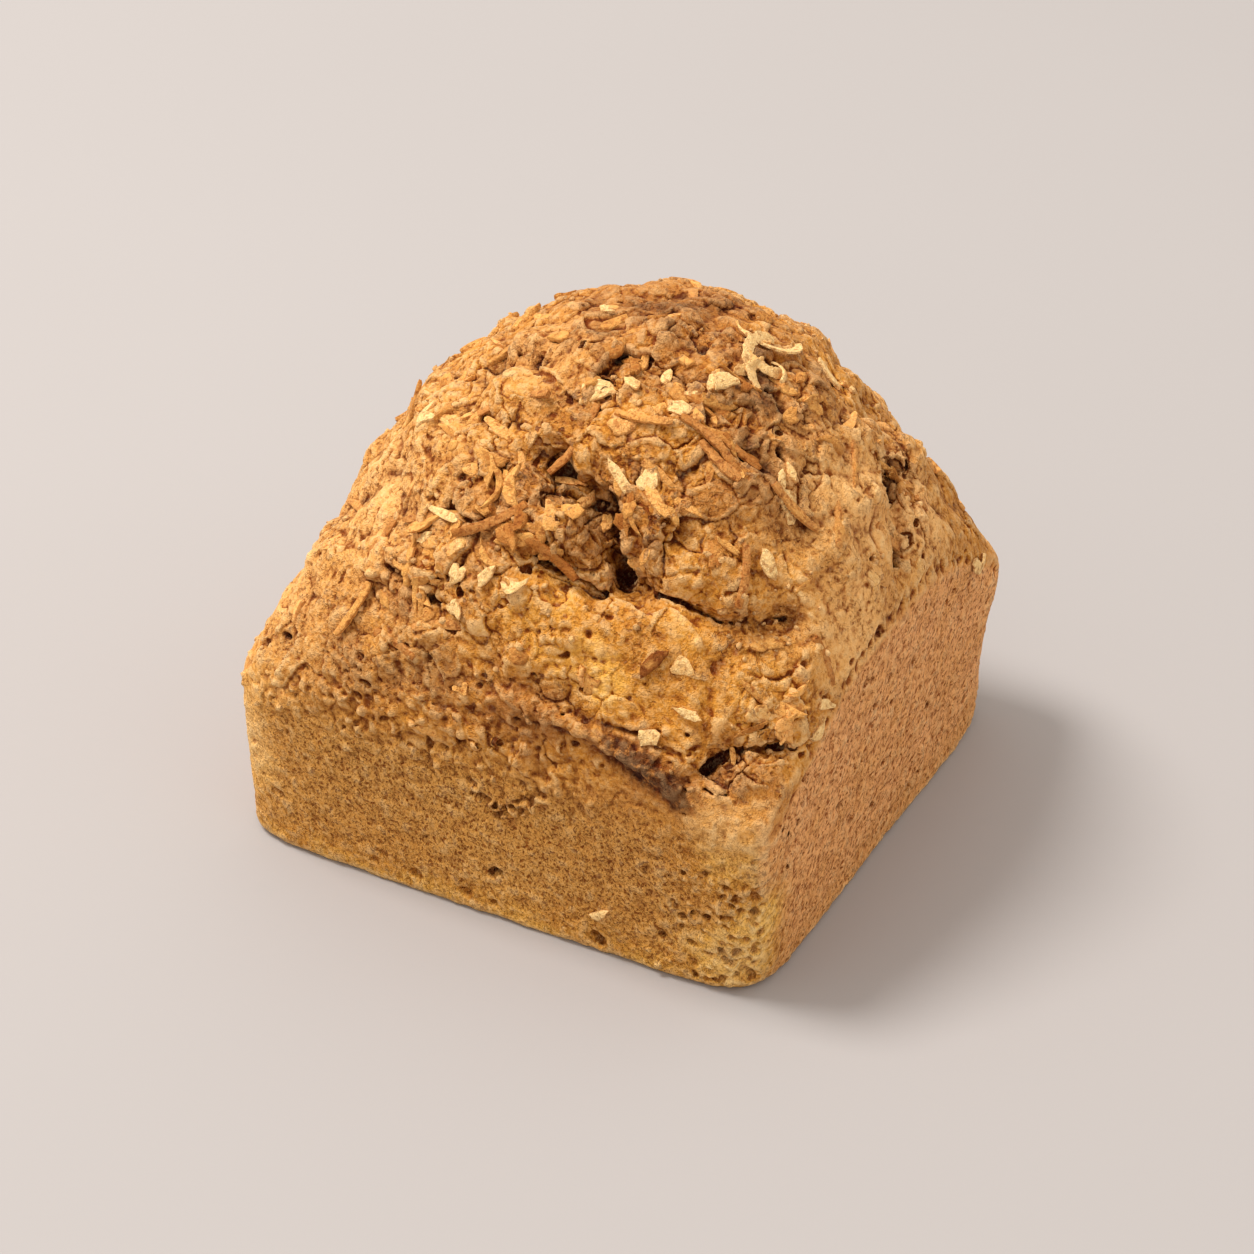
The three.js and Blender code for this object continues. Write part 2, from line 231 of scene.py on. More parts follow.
# The rough shoulder under the rim of the walls, in mm, and where it eases to the right
SHOULDER = {"below_rim": (3, 14), "inside": (1, 5), "to_right": (10, 26), "height": (24, 36)}
SHOULDER_EASE = 0.6
SHOULDER_ROUGHNESS = 0.8
SHOULDER_BROKEN = 0.4

# The tin's walls and the dome's curve
WALL_FLARE = (0.0275, 0.026)
CORNER_POWER = 10.2
CRISP_CORNER_POWER = 36.0
CRISP_REACH = 40
CRISP_HEIGHT = 32
RIGHT_EDGE = (0.5, 0.9)
FULL_CORNER = {"at": (53, -48, 37), "reach": 9, "height": 3.0}
BOTTOM_INSET = 0.9
BOTTOM_WEAR_HEIGHT = 1.4
FLAT_BELOW = 0.2
PROFILE_POWER = 2.15
SQUARE_POWER = 11.5
ROUND_POWER = 1.75
ROUNDING_START = 26.5
ROUNDING_REACH = 14.0

# Rays that find the surface leave this point of the axis
CORE = np.array([0.0, 0.0, 25.0])
RAY_LENGTH = 120.0
RAY_HALVINGS = 34
NORMAL_STEP = 0.4


def lattice_values(cells, seed):
    """A fixed number from -1 to 1 for each lattice point."""
    i, j, k = (cells[:, axis].astype(np.int64).astype(np.uint32) for axis in range(3))
    mixed = i * np.uint32(0x27D4EB2F) ^ j * np.uint32(0x165667B1) ^ k * np.uint32(0x9E3779B1)
    mixed ^= np.uint32(seed)
    mixed = (mixed ^ (mixed >> np.uint32(15))) * np.uint32(0x85EBCA6B)
    mixed = (mixed ^ (mixed >> np.uint32(13))) * np.uint32(0xC2B2AE35)
    return (mixed ^ (mixed >> np.uint32(16))) / 2147483648.0 - 1.0


def noise(points, layer):
    """Smooth noise from -1 to 1 over features of a layer's size."""
    place = points / layer["size"]
    cell = np.floor(place)
    t = place - cell
    t = t * t * t * (t * (6 * t - 15) + 10)
    total = 0.0
    for corner in range(8):
        step = np.array([corner & 1, (corner >> 1) & 1, corner >> 2])
        weight = 1.0
        for axis in range(3):
            weight = weight * (t[:, axis] if step[axis] else 1 - t[:, axis])
        total = total + weight * lattice_values(cell + step, layer["seed"])
    return total


def cells(points, layer):
    """For the scattered seed nearest each point: its cell, the offset from it and the room to the next."""
    place = points / layer["size"]
    corner = np.floor(place)
    nearest = np.full(len(points), np.inf)
    second = nearest.copy()
    home = np.zeros_like(place)
    offset = np.zeros_like(place)
    for shift in np.ndindex(3, 3, 3):
        cell = corner + np.array(shift) - 1
        scatter = np.stack([lattice_values(cell, layer["seed"] + axis) for axis in range(3)], axis=1)
        apart = place - cell - 0.5 - SEED_SPREAD * scatter
        distance = np.linalg.norm(apart, axis=1)
        closer = distance < nearest
        second = np.where(closer, nearest, np.minimum(second, distance))
        nearest[closer] = distance[closer]
        offset[closer] = apart[closer]
        home[closer] = cell[closer]
    return home, offset, second - nearest


def plates(points, layer):
    """Heights of tilted plates with cracks between them."""
    home, offset, room = cells(points, layer)
    level = lattice_values(home, layer["seed"] + 3)
    tilt = np.stack([lattice_values(home, layer["seed"] + 4 + axis) for axis in range(3)], axis=1)
    top = PLATE_STEP * level + np.sum(offset * tilt, axis=1)
    cracked = smooth_step(*CRACKED["span"], noise(points, CRACKED))
    return layer["height"] * top - layer["crack"] * cracked * (1 - smooth_step(*CRACK_EDGE, room))


def drifted(points, layer):
    """Points moved by noise of a layer's size and height."""
    layers = ({**layer, "seed": layer["seed"] + axis} for axis in range(3))
    return points + layer["height"] * np.stack([noise(points, one) for one in layers], axis=1)


def smooth_step(low, high, value):
    t = np.clip((value - low) / (high - low), 0, 1)
    return t * t * (3 - 2 * t)


def hump(distance, reach):
    """A hump of height 1 that fades to nothing a few reaches away."""
    return np.exp(-((distance / reach) ** 2))


def distance_to(points, place):
    return np.linalg.norm(points - np.asarray(place, points.dtype), axis=1)


def faded(strength, points, patches):
    """A strength that fades out in patches."""
    for place, reach, share in patches:
        strength = strength * (1 - share * hump(distance_to(points, place), reach))
    return strength


def distance_to_path(points, path):
    least = np.full(len(points), np.inf)
    for start, end in zip(path, path[1:]):
        start = np.asarray(start, float)
        span = np.asarray(end, float) - start
        share = np.clip((points - start) @ span / (span @ span), 0, 1)
        least = np.minimum(least, np.linalg.norm(points - start - share[:, None] * span, axis=1))
    return least


def halved(within, low, high):
    """The values between low and high that are only just within, found by halving."""
    for _ in range(RAY_HALVINGS):
        middle = (low + high) / 2
        inside = within(middle)
        low = np.where(inside, middle, low)
        high = np.where(inside, high, middle)
    return middle


def superellipse(u, v, power):
    return (np.abs(u) ** power + np.abs(v) ** power) ** (1 / power)


def dome_directions(u, v):
    """A square of side 2 laid over the upper half of a sphere, its rim level."""
    reach = np.maximum(np.abs(u), np.abs(v))
    quarter = pi / 4
    with np.errstate(divide="ignore", invalid="ignore"):
        beside = np.where(u > 0, 0.0, pi) + quarter * v / u
        ahead = np.sign(v) * 2 * quarter - quarter * u / v
    turn = np.where(np.abs(u) >= np.abs(v), beside, ahead)
    tilt = reach * pi / 2
    return np.stack([np.sin(tilt) * np.cos(turn), np.sin(tilt) * np.sin(turn), np.cos(tilt)], axis=1)


class CakeForm:
    """The body as the tin and the oven shaped it, in mm."""

    def __init__(self, loaf):
        self.half = (loaf.wall_half_x / MM, loaf.wall_half_y / MM)
        self.base = loaf.dome_base / MM
        self.rise = loaf.dome_rise / MM
        self.dome_half = (loaf.dome_half_x / MM, loaf.dome_half_y / MM)
        self.lean = (loaf.lean_x / MM, loaf.lean_y / MM)
        self.rim_round = loaf.rim_round / MM
        self.right_rim_round = loaf.right_rim_round / MM

    def beyond_walls(self, points, power=CORNER_POWER):
        """Distance beyond the tin's walls, negative inside."""
        x, y, z = points.T
        across = x / (self.half[0] + WALL_FLARE[0] * z)
        along = y / (self.half[1] + WALL_FLARE[1] * z)
        return (superellipse(across, along, power) - 1) * self.half[1]

    def beyond_dome(self, points):
        """Distance beyond the dome's curve, negative inside."""
        x, y, z = points.T
        rise = np.maximum(0, (z - self.base) / self.rise)
        squareness = np.exp(-np.maximum(0, z - ROUNDING_START) / ROUNDING_REACH)
        power = ROUND_POWER + (SQUARE_POWER - ROUND_POWER) * squareness
        across = (x - self.lean[0] * rise) / self.dome_half[0]
        along = (y - self.lean[1] * rise) / self.dome_half[1]
        plan = superellipse(across, along, power)
        return (superellipse(plan, rise, PROFILE_POWER) - 1) * self.dome_half[0]

    def beyond_body(self, points):
        return np.maximum(self.beyond_walls(points), self.beyond_dome(points))

    def rightness(self, points):
        """How near the right wall a point is, from 0 to 1."""
        return smooth_step(*RIGHT_EDGE, points[:, 0] / self.half[0])

    def beyond_rounded_body(self, points):
        """The body with a rounded rim, crisp at the right, a crisp front corner and a worn bottom edge."""
        x, y, z = points.T
        crisp = smooth_step(0, CRISP_REACH, x) * smooth_step(0, CRISP_REACH, -y)
        crisp = crisp * np.clip(z / CRISP_HEIGHT, 0, 1)
        walls = self.beyond_walls(points, CORNER_POWER + (CRISP_CORNER_POWER - CORNER_POWER) * crisp)
        fullness = hump(distance_to(points, FULL_CORNER["at"]), FULL_CORNER["reach"])
        dome = self.beyond_dome(points) - FULL_CORNER["height"] * fullness
        softness = self.rim_round + (self.right_rim_round - self.rim_round) * self.rightness(points)
        overlap = np.maximum(softness - np.abs(walls - dome), 0)
        worn = BOTTOM_INSET * (1 - np.clip(z / BOTTOM_WEAR_HEIGHT, 0, 1)) ** 2
        return np.maximum(walls, dome) + overlap ** 2 / (4 * softness) + worn

    def rim_height(self, along):
        """Height of the right wall's top edge at each place along it."""
        def under_dome(heights):
            wall = self.half[0] + WALL_FLARE[0] * heights
            return self.beyond_dome(np.stack([wall, along, heights], axis=1)) < 0

        low = np.full(len(along), self.base)
        return halved(under_dome, low, low + self.rise)

    def plain_surface(self, directions, starts=CORE, beyond=None):
        """The plain body's surface along each ray."""
        beyond = beyond or self.beyond_body

        def along_rays(distances):
            return starts + directions * distances[:, None]

        near = np.zeros(len(directions))
        return along_rays(halved(lambda far: beyond(along_rays(far)) < 0, near, near + RAY_LENGTH))

    def normals(self, points):
        slopes = []
        for axis in range(3):
            step = np.eye(3)[axis] * NORMAL_STEP
            slopes.append(self.beyond_body(points + step) - self.beyond_body(points - step))
        slopes = np.stack(slopes, axis=1)
        return slopes / np.linalg.norm(slopes, axis=1, keepdims=True)

    def cragginess(self, points):
        """How craggy the crust is: 0 on the walls, 1 over most of the dome."""
        return faded(smooth_step(0, CROWN_EDGE, -self.beyond_walls(points)), points, SMOOTH_PATCHES)

    def relief(self, points):
        """How far the crust stands proud of the plain body."""
        crown = smooth_step(0, CROWN_EDGE, -self.beyond_walls(points))
        crags = self.cragginess(points)
        inside = smooth_step(*INSIDE_WALLS, -self.beyond_walls(points))
        swell_share = WALL_SWELL_SHARE + (1 - WALL_SWELL_SHARE) * crown
        height = swell_share * SWELL["height"] * noise(points, SWELL)
        height = height + crags * CRAG["height"] * (np.abs(noise(points, CRAG)) - CRAG_MIDDLE)
        height = height + crags * CLUMP["height"] * noise(points, CLUMP)
        for place, reach, most, fades in LUMPS:
            lift = most * hump(distance_to(points, place), reach)
            height = height + (lift * inside if fades else lift)
        for path, width, depth, _ in CREVICES:
            height = height - depth * hump(distance_to_path(points, path), width)
        return height

    def roughness(self, points):
        """How rough the crust is: the crags of the dome, and the shoulder under the rim."""
        walls = self.beyond_walls(points)
        under_rim = np.maximum(0, walls - self.beyond_dome(points))
        shoulder = 1 - smooth_step(*SHOULDER["below_rim"], under_rim)
        shoulder = shoulder * (1 - smooth_step(*SHOULDER["inside"], -walls))
        shoulder = shoulder * (1 - self.rightness(points))
        shoulder = shoulder * (1 - SHOULDER_EASE * smooth_step(*SHOULDER["to_right"], points[:, 0]))
        shoulder = shoulder * smooth_step(*SHOULDER["height"], points[:, 2])
        return np.maximum(self.cragginess(points), SHOULDER_ROUGHNESS * shoulder)

    def fine_relief(self, points):
        """Knobs and grit of the visible crust, over the relief of the solid."""
        rough = self.roughness(points)
        drawn_out = drifted(points, DRIFT)
        height = 0.0
        for layer in (KNOB, GRIT):
            knobs = np.abs(noise(drawn_out, layer)) ** KNOB_POWER - KNOB_MIDDLE
            height = height + layer["height"] * knobs
        return rough * height + (1 - rough) * WALL_GRIT["height"] * noise(points, WALL_GRIT)

    def brokenness(self, points):
        """How broken into plates the crust is, from 0 to 1."""
        on_dome = smooth_step(*DOME_EDGE, -self.beyond_walls(points))
        broken = np.minimum(LEAST_BROKEN + zone_strength(points, SHARD_ZONES), 1)
        broken = faded(broken, points, QUIET_PATCHES)
        return np.maximum(on_dome * broken, SHOULDER_BROKEN * self.roughness(points) * (1 - on_dome))

    def crust_surface(self, directions, starts=CORE):
        plain = self.plain_surface(directions, starts)
        normals = self.normals(plain)
        return plain + normals * self.relief(plain)[:, None], normals


class DistanceGrid:
    """Distances to the crust in mm, negative inside, that lumps and holes are worked into."""

    BAND = 5.0
    DEEPEST = 9.0
    FINE_BAND = 3.0
    SLAB = 12
    LEAST_STEEPNESS = 0.3

    def __init__(self, low, high, voxel):
        self.low = np.asarray(low, float)
        self.voxel = voxel
        counts = np.ceil((np.asarray(high) - self.low) / voxel).astype(int) + 1
        self.axes = [self.low[a] + voxel * np.arange(counts[a]) for a in range(3)]
        self.values = np.zeros(counts, np.float32)

    def slabs(self):
        """The grid a few layers at a time, with the places of its points."""
        for first in range(0, len(self.axes[0]), self.SLAB):
            layers = slice(first, first + self.SLAB)
            spans = (self.axes[0][layers], self.axes[1], self.axes[2])
            yield layers, np.stack(np.meshgrid(*spans, indexing="ij"), axis=-1).astype(np.float32)

    def fill(self, form):
        """Lay the rounded body and all its relief into the grid."""
        for layers, points in self.slabs():
            self.values[layers] = form.beyond_rounded_body(points.reshape(-1, 3)).reshape(points.shape[:3])
        slopes = np.stack(np.gradient(self.values, self.voxel), axis=-1)
        steepness = np.maximum(np.linalg.norm(slopes, axis=-1), self.LEAST_STEEPNESS)
        self.values /= steepness
        for layers, points in self.slabs():
            plain = self.values[layers]
            near = (plain < self.BAND) & (plain > -self.DEEPEST)
            outward = slopes[layers][near] / steepness[layers][near][:, None]
            crust = points[near] - outward * plain[near][:, None]
            height = plain[near] - form.relief(crust)
            close = np.abs(height) < self.FINE_BAND
            height[close] -= form.fine_relief(points[near][close])
            plain[near] = height
        np.maximum(self.values, -self.axes[2].astype(np.float32), out=self.values)
        np.clip(self.values, -self.BAND, self.BAND, out=self.values)

    def ball(self, centre, radii, turn):
        """The grid's window round a ball, and the distance to it."""
        reach = max(radii) + 2 * self.voxel
        first = np.maximum(np.floor((centre - reach - self.low) / self.voxel).astype(int), 0)
        last = np.ceil((centre + reach - self.low) / self.voxel).astype(int) + 1
        window = tuple(slice(a, b) for a, b in zip(first, last))
        spans = (axis[span] for axis, span in zip(self.axes, window))
        offsets = np.stack(np.meshgrid(*spans, indexing="ij"), axis=-1) - centre
        scaled = np.linalg.norm(offsets @ turn / radii, axis=-1)
        return window, (scaled - 1) * min(radii)

    def add_ball(self, centre, radii, turn, softness):
        window, distance = self.ball(centre, radii, turn)
        values = self.values[window]
        overlap = np.maximum(softness - np.abs(values - distance), 0)
        values[...] = np.minimum(values, distance) - overlap ** 2 / (4 * softness)

    def cut_ball(self, centre, radii, turn):
        window, distance = self.ball(centre, radii, turn)
        values = self.values[window]
        values[...] = np.maximum(values, -distance)

    def quads(self):
        grid = openvdb.FloatGrid(self.BAND)
        grid.copyFromArray(self.values)
        points, quads = grid.convertToQuads(0.0)
        return points * self.voxel + self.low, quads


def random_turns(random, amount):
    """Random rotations, each a matrix with its axes in columns."""
    spins = random.normal(size=(amount, 4))
    w, x, y, z = (spins / np.linalg.norm(spins, axis=1, keepdims=True)).T
    rows = (
        (1 - 2 * (y * y + z * z), 2 * (x * y - z * w), 2 * (x * z + y * w)),
        (2 * (x * y + z * w), 1 - 2 * (x * x + z * z), 2 * (y * z - x * w)),
        (2 * (x * z - y * w), 2 * (y * z + x * w), 1 - 2 * (x * x + y * y)),
    )
    return np.moveaxis(np.array(rows), 2, 0)


def dome_places(form, random, amount):
    """Random places over the dome, with their outward directions."""
    return form.crust_surface(dome_directions(*random.uniform(-1, 1, (2, amount))))


def wall_places(form, random, amount, low, high):
    """Random places on the walls between two heights, with their outward directions."""
    turn = random.uniform(0, 2 * pi, amount)
    directions = np.stack([np.cos(turn), np.sin(turn), np.zeros(amount)], axis=1)
    starts = np.stack([np.zeros(amount), np.zeros(amount), random.uniform(low, high, amount)], axis=1)
    return form.crust_surface(directions, starts)


# More that only the visible crust has: the tear beside the right wall, and a fold low on the left slope
CLEFTS = (
    (((37, 14, 79), (41, 17, 74), (45.5, 16, 68), (48, 10, 66), (50, 8, 63), (51.5, 8, 59), (52, 1, 58)),
     3.0, 2.0, 0.8),
    (((-22, -42.5, 60), (-16, -44.6, 59.5), (-10, -46, 58.7)), 2.4, 2.0, 0.8),
)

# How clefts are cut, as shares of their width and depth: the least, and more with the noise
CLEFT_STRAY = 0.1
CLEFT_GAPE = (0.12, 0.4)
CLEFT_DEPTH = (0.4, 0.6)
CLEFT_OVERLAP = 0.6
PATH_STEP = 0.5

# Dark holes that stand out in the crust, and larger pores low in the walls
DARK_HOLES = (
    (6, -42, 70), (6, -19, 93), (36, -13, 83), (-5, -33, 80),
    (-28, 30, 74), (22, 36, 72), (-40, 8, 66),
)
HOLE_SIZE = ((0.8, 1.4), (0.5, 0.9), (1.8, 3.2))
SECOND_HOLE_ASIDE = (1.2, 0.8)
SECOND_HOLE_SHARE = (0.6, 0.9)
LOW_PORES = (
    (-4, -51, 3.5), (2, -51, 10), (-14, -51, 4), (22, -51, 3),
    (52, 10, 6), (-20, 51, 5), (-52, -12, 7),
)

# An arc of torn crumb in the middle of the front wall, and how far its crumbs stray
WALL_ARC = (
    (-1.8, -51.3, 28.3), (-0.3, -51.3, 26.7), (2, -51.2, 25), (5.2, -51.2, 24.2), (8.1, -51.2, 25.5),
    (10.9, -51.3, 29),
)
ARC_STRAY = 0.7

# The broken front corner: its heights in mm, and its turn and spread round the axis in radians
BROKEN_CORNER = {
    "low": 2, "span": 23, "power": 1.3, "turn": radians(-44.2), "spread": 0.09, "past": 0.02,
}

# The scorched lip of the front rim, the crack behind it, and the ledge at the front corner
RIM_LIP = (
    (4, -50, 47.6), (12, -50.3, 46.4), (19.6, -50.5, 45.6), (24, -50.6, 44.4), (27.8, -50.7, 43.3),
    (31.8, -50.8, 41.5), (35.5, -50.8, 39.6), (38.2, -50.8, 37.6),
)
RIM_CRACK = (
    (23, -49.4, 47), (29.5, -49, 46.2), (34.4, -48.6, 45), (37.7, -48.2, 44), (40, -47.6, 43.4),
    (42.7, -46.6, 43.8), (45.5, -44.6, 44.8), (48.6, -41.7, 44.6), (51.4, -38.7, 43),
)
LEDGE_CRACK = ((37.3, -49.6, 41.1), (41.6, -49, 39.8), (47.2, -47, 38.6), (50.8, -44.6, 37.2))
LEDGE = (46.5, -46.5, 40.5)

# Lumps and crumbs of the lip, the cuts of the two cracks, and nicks in the right wall's top edge, in mm
LIP_LUMPS = {"stray": 0.45, "size": (0.5, 1.2), "longer": 0.4, "softness": 0.5}
LIP_CRUMBS = {"step": 0.16, "stray": (0.9, 0.35, 0.9), "radius": (0.35, 0.75)}
RIM_CUTS = (
    {"path": RIM_CRACK, "gape": 0.4, "depth": 1.1},
    {"path": LEDGE_CRACK, "gape": 0.3, "depth": 0.7},
)
CUT_STRAY = 0.22
CUT_LENGTH = 1.0
CUT_GAPE_SPREAD = (0.6, 1.7)
CUT_DEPTH_SPREAD = (0.5, 1.2)
CRACK_CRUMBS = {"step": 0.2, "stray": 1.1, "sink": 0.5, "radius": (0.6, 1.3)}
NICKS = {"amount": 90, "outside": 1.2, "along": 46, "stray": 0.5, "size": (0.4, 1.3), "shape": (1, 1, 0.8)}

# Lumps fused to the crust: radii in mm, how they crowd towards the least, and how softly they join
SOFT_JOIN = 0.35
CRAG_LUMPS = {"radius": (0.5, 1.3), "power": 2, "softness": 0.6, "away_from_crevices": 0.1}
TEAR_LUMPS = {"step": 0.45, "stray": 1.1, "aside": (0.8, 1.8, -0.5), "radius": (0.7, 1.5)}
LEDGE_LUMPS = {"stray": (4.0, 2.5, 3.0), "radius": (0.35, 0.8)}
SHOULDER_LUMPS = {"heights": (26, 52), "radius": (0.45, 1.0), "softness": 0.8}
CORNER_LUMPS = {"radius": (0.4, 0.8)}
ARC_LUMPS = {"step": 0.3, "radius": (0.4, 0.8)}
LUMP_SPREAD = (0.5, 1.35)
LUMP_SINK = (-0.1, 0.7)
CREVICE_REACH = 6.0

# Pits: radii in mm, how they crowd towards the least, and length, width and depth for a radius of 1
CRUST_PITS = {"radius": (0.3, 0.8), "power": 2, "shape": (1.2, 0.9, 1.7)}
WALL_PITS = {"radius": (0.35, 0.75), "power": 3, "shape": (1.5, 0.9, 1.2), "heights": (1, 45)}
SHOULDER_PITS = {"radius": (0.32, 0.66), "power": 2, "shape": (1.6, 0.8, 1.2), "heights": (30, 50)}
CORNER_PITS = {"radius": (0.4, 0.8), "shape": (1.2, 0.9, 1.6)}
ARC_PITS = {"radius": (0.4, 0.8), "shape": (1.3, 0.9, 1.5), "step": 0.7}
LOW_PITS = {"radius": (0.9, 1.3), "shape": (1.2, 0.9, 1.6)}
PIT_SPIN = 0.5
PIT_SPREAD = (0.7, 1.3)
PIT_SINK = 0.3
SECOND_PIT = {"aside": (1.1, 0.8, 0.2), "sink": 0.2, "share": (0.45, 0.8)}


def points_along(path, step):
    """Points a step apart along a path, with the direction of the path at each."""
    corners = np.array(path, float)
    spans = np.linalg.norm(np.diff(corners, axis=0), axis=1)
    marks = np.concatenate([[0], np.cumsum(spans)])
    stops = np.arange(0, marks[-1], step)
    places = np.stack([np.interp(stops, marks, corners[:, a]) for a in range(3)], axis=1)
    return places, unit(np.gradient(places, axis=0))


def crevice_axes(normals, ahead):
    """Axes along a path, across it and outward, in columns."""
    across = unit(np.cross(normals, ahead))
    return np.stack([np.cross(across, normals), across, normals], axis=2)


def work_crevices(grid, form, random):
    """Cut narrow, jagged clefts along the crevices, and dark holes beside them."""
    for path, width, depth, gape in (*CREVICES, *CLEFTS):
        places, ahead = points_along(path, PATH_STEP)
        places += random.normal(0, CLEFT_STRAY * width, places.shape)
        places, normals = form.crust_surface(unit(places - CORE))
        swing = 0.5 + 0.5 * noise(places, CLUMP)
        gapes = gape * width * (CLEFT_GAPE[0] + CLEFT_GAPE[1] * swing)
        depths = depth * (CLEFT_DEPTH[0] + CLEFT_DEPTH[1] * swing)
        for spot, wide, deep, turn in zip(places, gapes, depths, crevice_axes(normals, ahead)):
            grid.cut_ball(spot, np.array([wide + CLEFT_OVERLAP, wide, deep]), turn)
    places, normals = form.crust_surface(unit(np.array(DARK_HOLES, float) - CORE))
    for spot, normal in zip(places, normals):
        turn = surface_axes(normal, random.uniform(0, pi))
        size = np.array([random.uniform(*span) for span in HOLE_SIZE])
        grid.cut_ball(spot, size, turn)
        aside = turn @ np.array([*(random.uniform(-far, far) for far in SECOND_HOLE_ASIDE), 0])
        grid.cut_ball(spot + aside, size * random.uniform(*SECOND_HOLE_SHARE, 3), turn)


def work_rim(grid, form, random):
    """Roughen the scorched lip of the front rim, and cut the cracks behind it."""
    places, ahead = points_along(RIM_LIP, PATH_STEP)
    places += random.normal(0, LIP_LUMPS["stray"], places.shape)
    sizes = random.uniform(*LIP_LUMPS["size"], (len(places), 3)) + (LIP_LUMPS["longer"], 0, 0)
    for spot, size, turn in zip(places, sizes, crevice_axes(form.normals(places), ahead)):
        grid.add_ball(spot, size, turn, LIP_LUMPS["softness"])
    places, _ = points_along(RIM_LIP, LIP_CRUMBS["step"])
    places += random.normal(0, LIP_CRUMBS["stray"], places.shape)
    fuse_nodules(grid, places, form.normals(places), LIP_CRUMBS, random)
    for cut in RIM_CUTS:
        places, ahead = points_along(cut["path"], PATH_STEP)
        places += random.normal(0, CUT_STRAY, places.shape)
        places, normals = form.crust_surface(unit(places - CORE))
        for spot, turn in zip(places, crevice_axes(normals, ahead)):
            gape = cut["gape"] * random.uniform(*CUT_GAPE_SPREAD)
            depth = cut["depth"] * random.uniform(*CUT_DEPTH_SPREAD)
            grid.cut_ball(spot, np.array([CUT_LENGTH, gape, depth]), turn)
    nick_right_rim(grid, form, random)
    places, _ = points_along(RIM_CRACK[3:], CRACK_CRUMBS["step"])
    places += random.normal(0, CRACK_CRUMBS["stray"], places.shape)
    places, normals = form.crust_surface(unit(places - CORE))
    fuse_nodules(grid, places - CRACK_CRUMBS["sink"] * normals, normals, CRACK_CRUMBS, random)


def nick_right_rim(grid, form, random):
    """Nick the crisp top edge of the right wall."""
    amount = NICKS["amount"]
    # The second row isn't used. It is drawn so that the later draws keep their order
    along, _ = random.uniform(-NICKS["along"], NICKS["along"], (2, amount))
    heights = form.rim_height(along) + random.normal(0, NICKS["stray"], amount)
    right = np.full(amount, form.half[0] + NICKS["outside"])
    for spot in np.stack([right, along, heights], axis=1):
        turn = surface_axes(np.array([1.0, 0.0, 0.0]), random.uniform(0, pi))
        grid.cut_ball(spot, random.uniform(*NICKS["size"], 3) * NICKS["shape"], turn)


def unit(vectors):
    return vectors / np.linalg.norm(vectors, axis=-1, keepdims=True)


def radii_of(kind, random, amount):
    """Random radii of a kind of lump or pit, more of them small where its power is high."""
    low, high = kind["radius"]
    return low + (high - low) * random.random(amount) ** kind.get("power", 1)


def fuse_nodules(grid, places, normals, kind, random, kept=slice(None)):
    """Fuse uneven lumps of a kind to the crust at the places kept, sunk by different amounts."""
    radii = radii_of(kind, random, len(places))[kept]
    sizes = radii[:, None] * random.uniform(*LUMP_SPREAD, (len(radii), 3))
    sink = radii * random.uniform(*LUMP_SINK, len(radii))
    centres = places[kept] - normals[kept] * sink[:, None]
    for centre, size, turn in zip(centres, sizes, random_turns(random, len(radii))):
        grid.add_ball(centre, size, turn, kind.get("softness", SOFT_JOIN))


def chosen(random, weights):
    """Pick places at random, each as likely as its weight."""
    return random.random(len(weights)) < weights


def near_crevices(points):
    """How near the torn crevices points are, from 0 to 1."""
    paths = (path for path, *_ in (*CREVICES, *CLEFTS))
    return np.max([hump(distance_to_path(points, path), CREVICE_REACH) for path in paths], axis=0)


def corner_places(form, random, amount):
    """Places on the broken front corner, and their outward directions."""
    corner = BROKEN_CORNER
    heights = corner["low"] + corner["span"] * random.random(amount) ** corner["power"]
    turn = corner["turn"] - np.abs(random.normal(0, corner["spread"], amount)) + corner["past"]
    flat = np.zeros_like(heights)
    starts = np.stack([flat, flat, heights], axis=1)
    directions = np.stack([np.cos(turn), np.sin(turn), flat], axis=1)
    return form.plain_surface(directions, starts, form.beyond_rounded_body), directions


def arc_places(form, random, step):
    """Places scattered along the arc of torn crumb, and their outward directions."""
    places, _ = points_along(WALL_ARC, step)
    places += random.normal(0, ARC_STRAY, places.shape)
    return wall_surface(form, places)


def wall_surface(form, places):
    """The crust of the walls level with each place, and its outward directions."""
    return form.crust_surface(unit(places * (1, 1, 0)), places * (0, 0, 1))


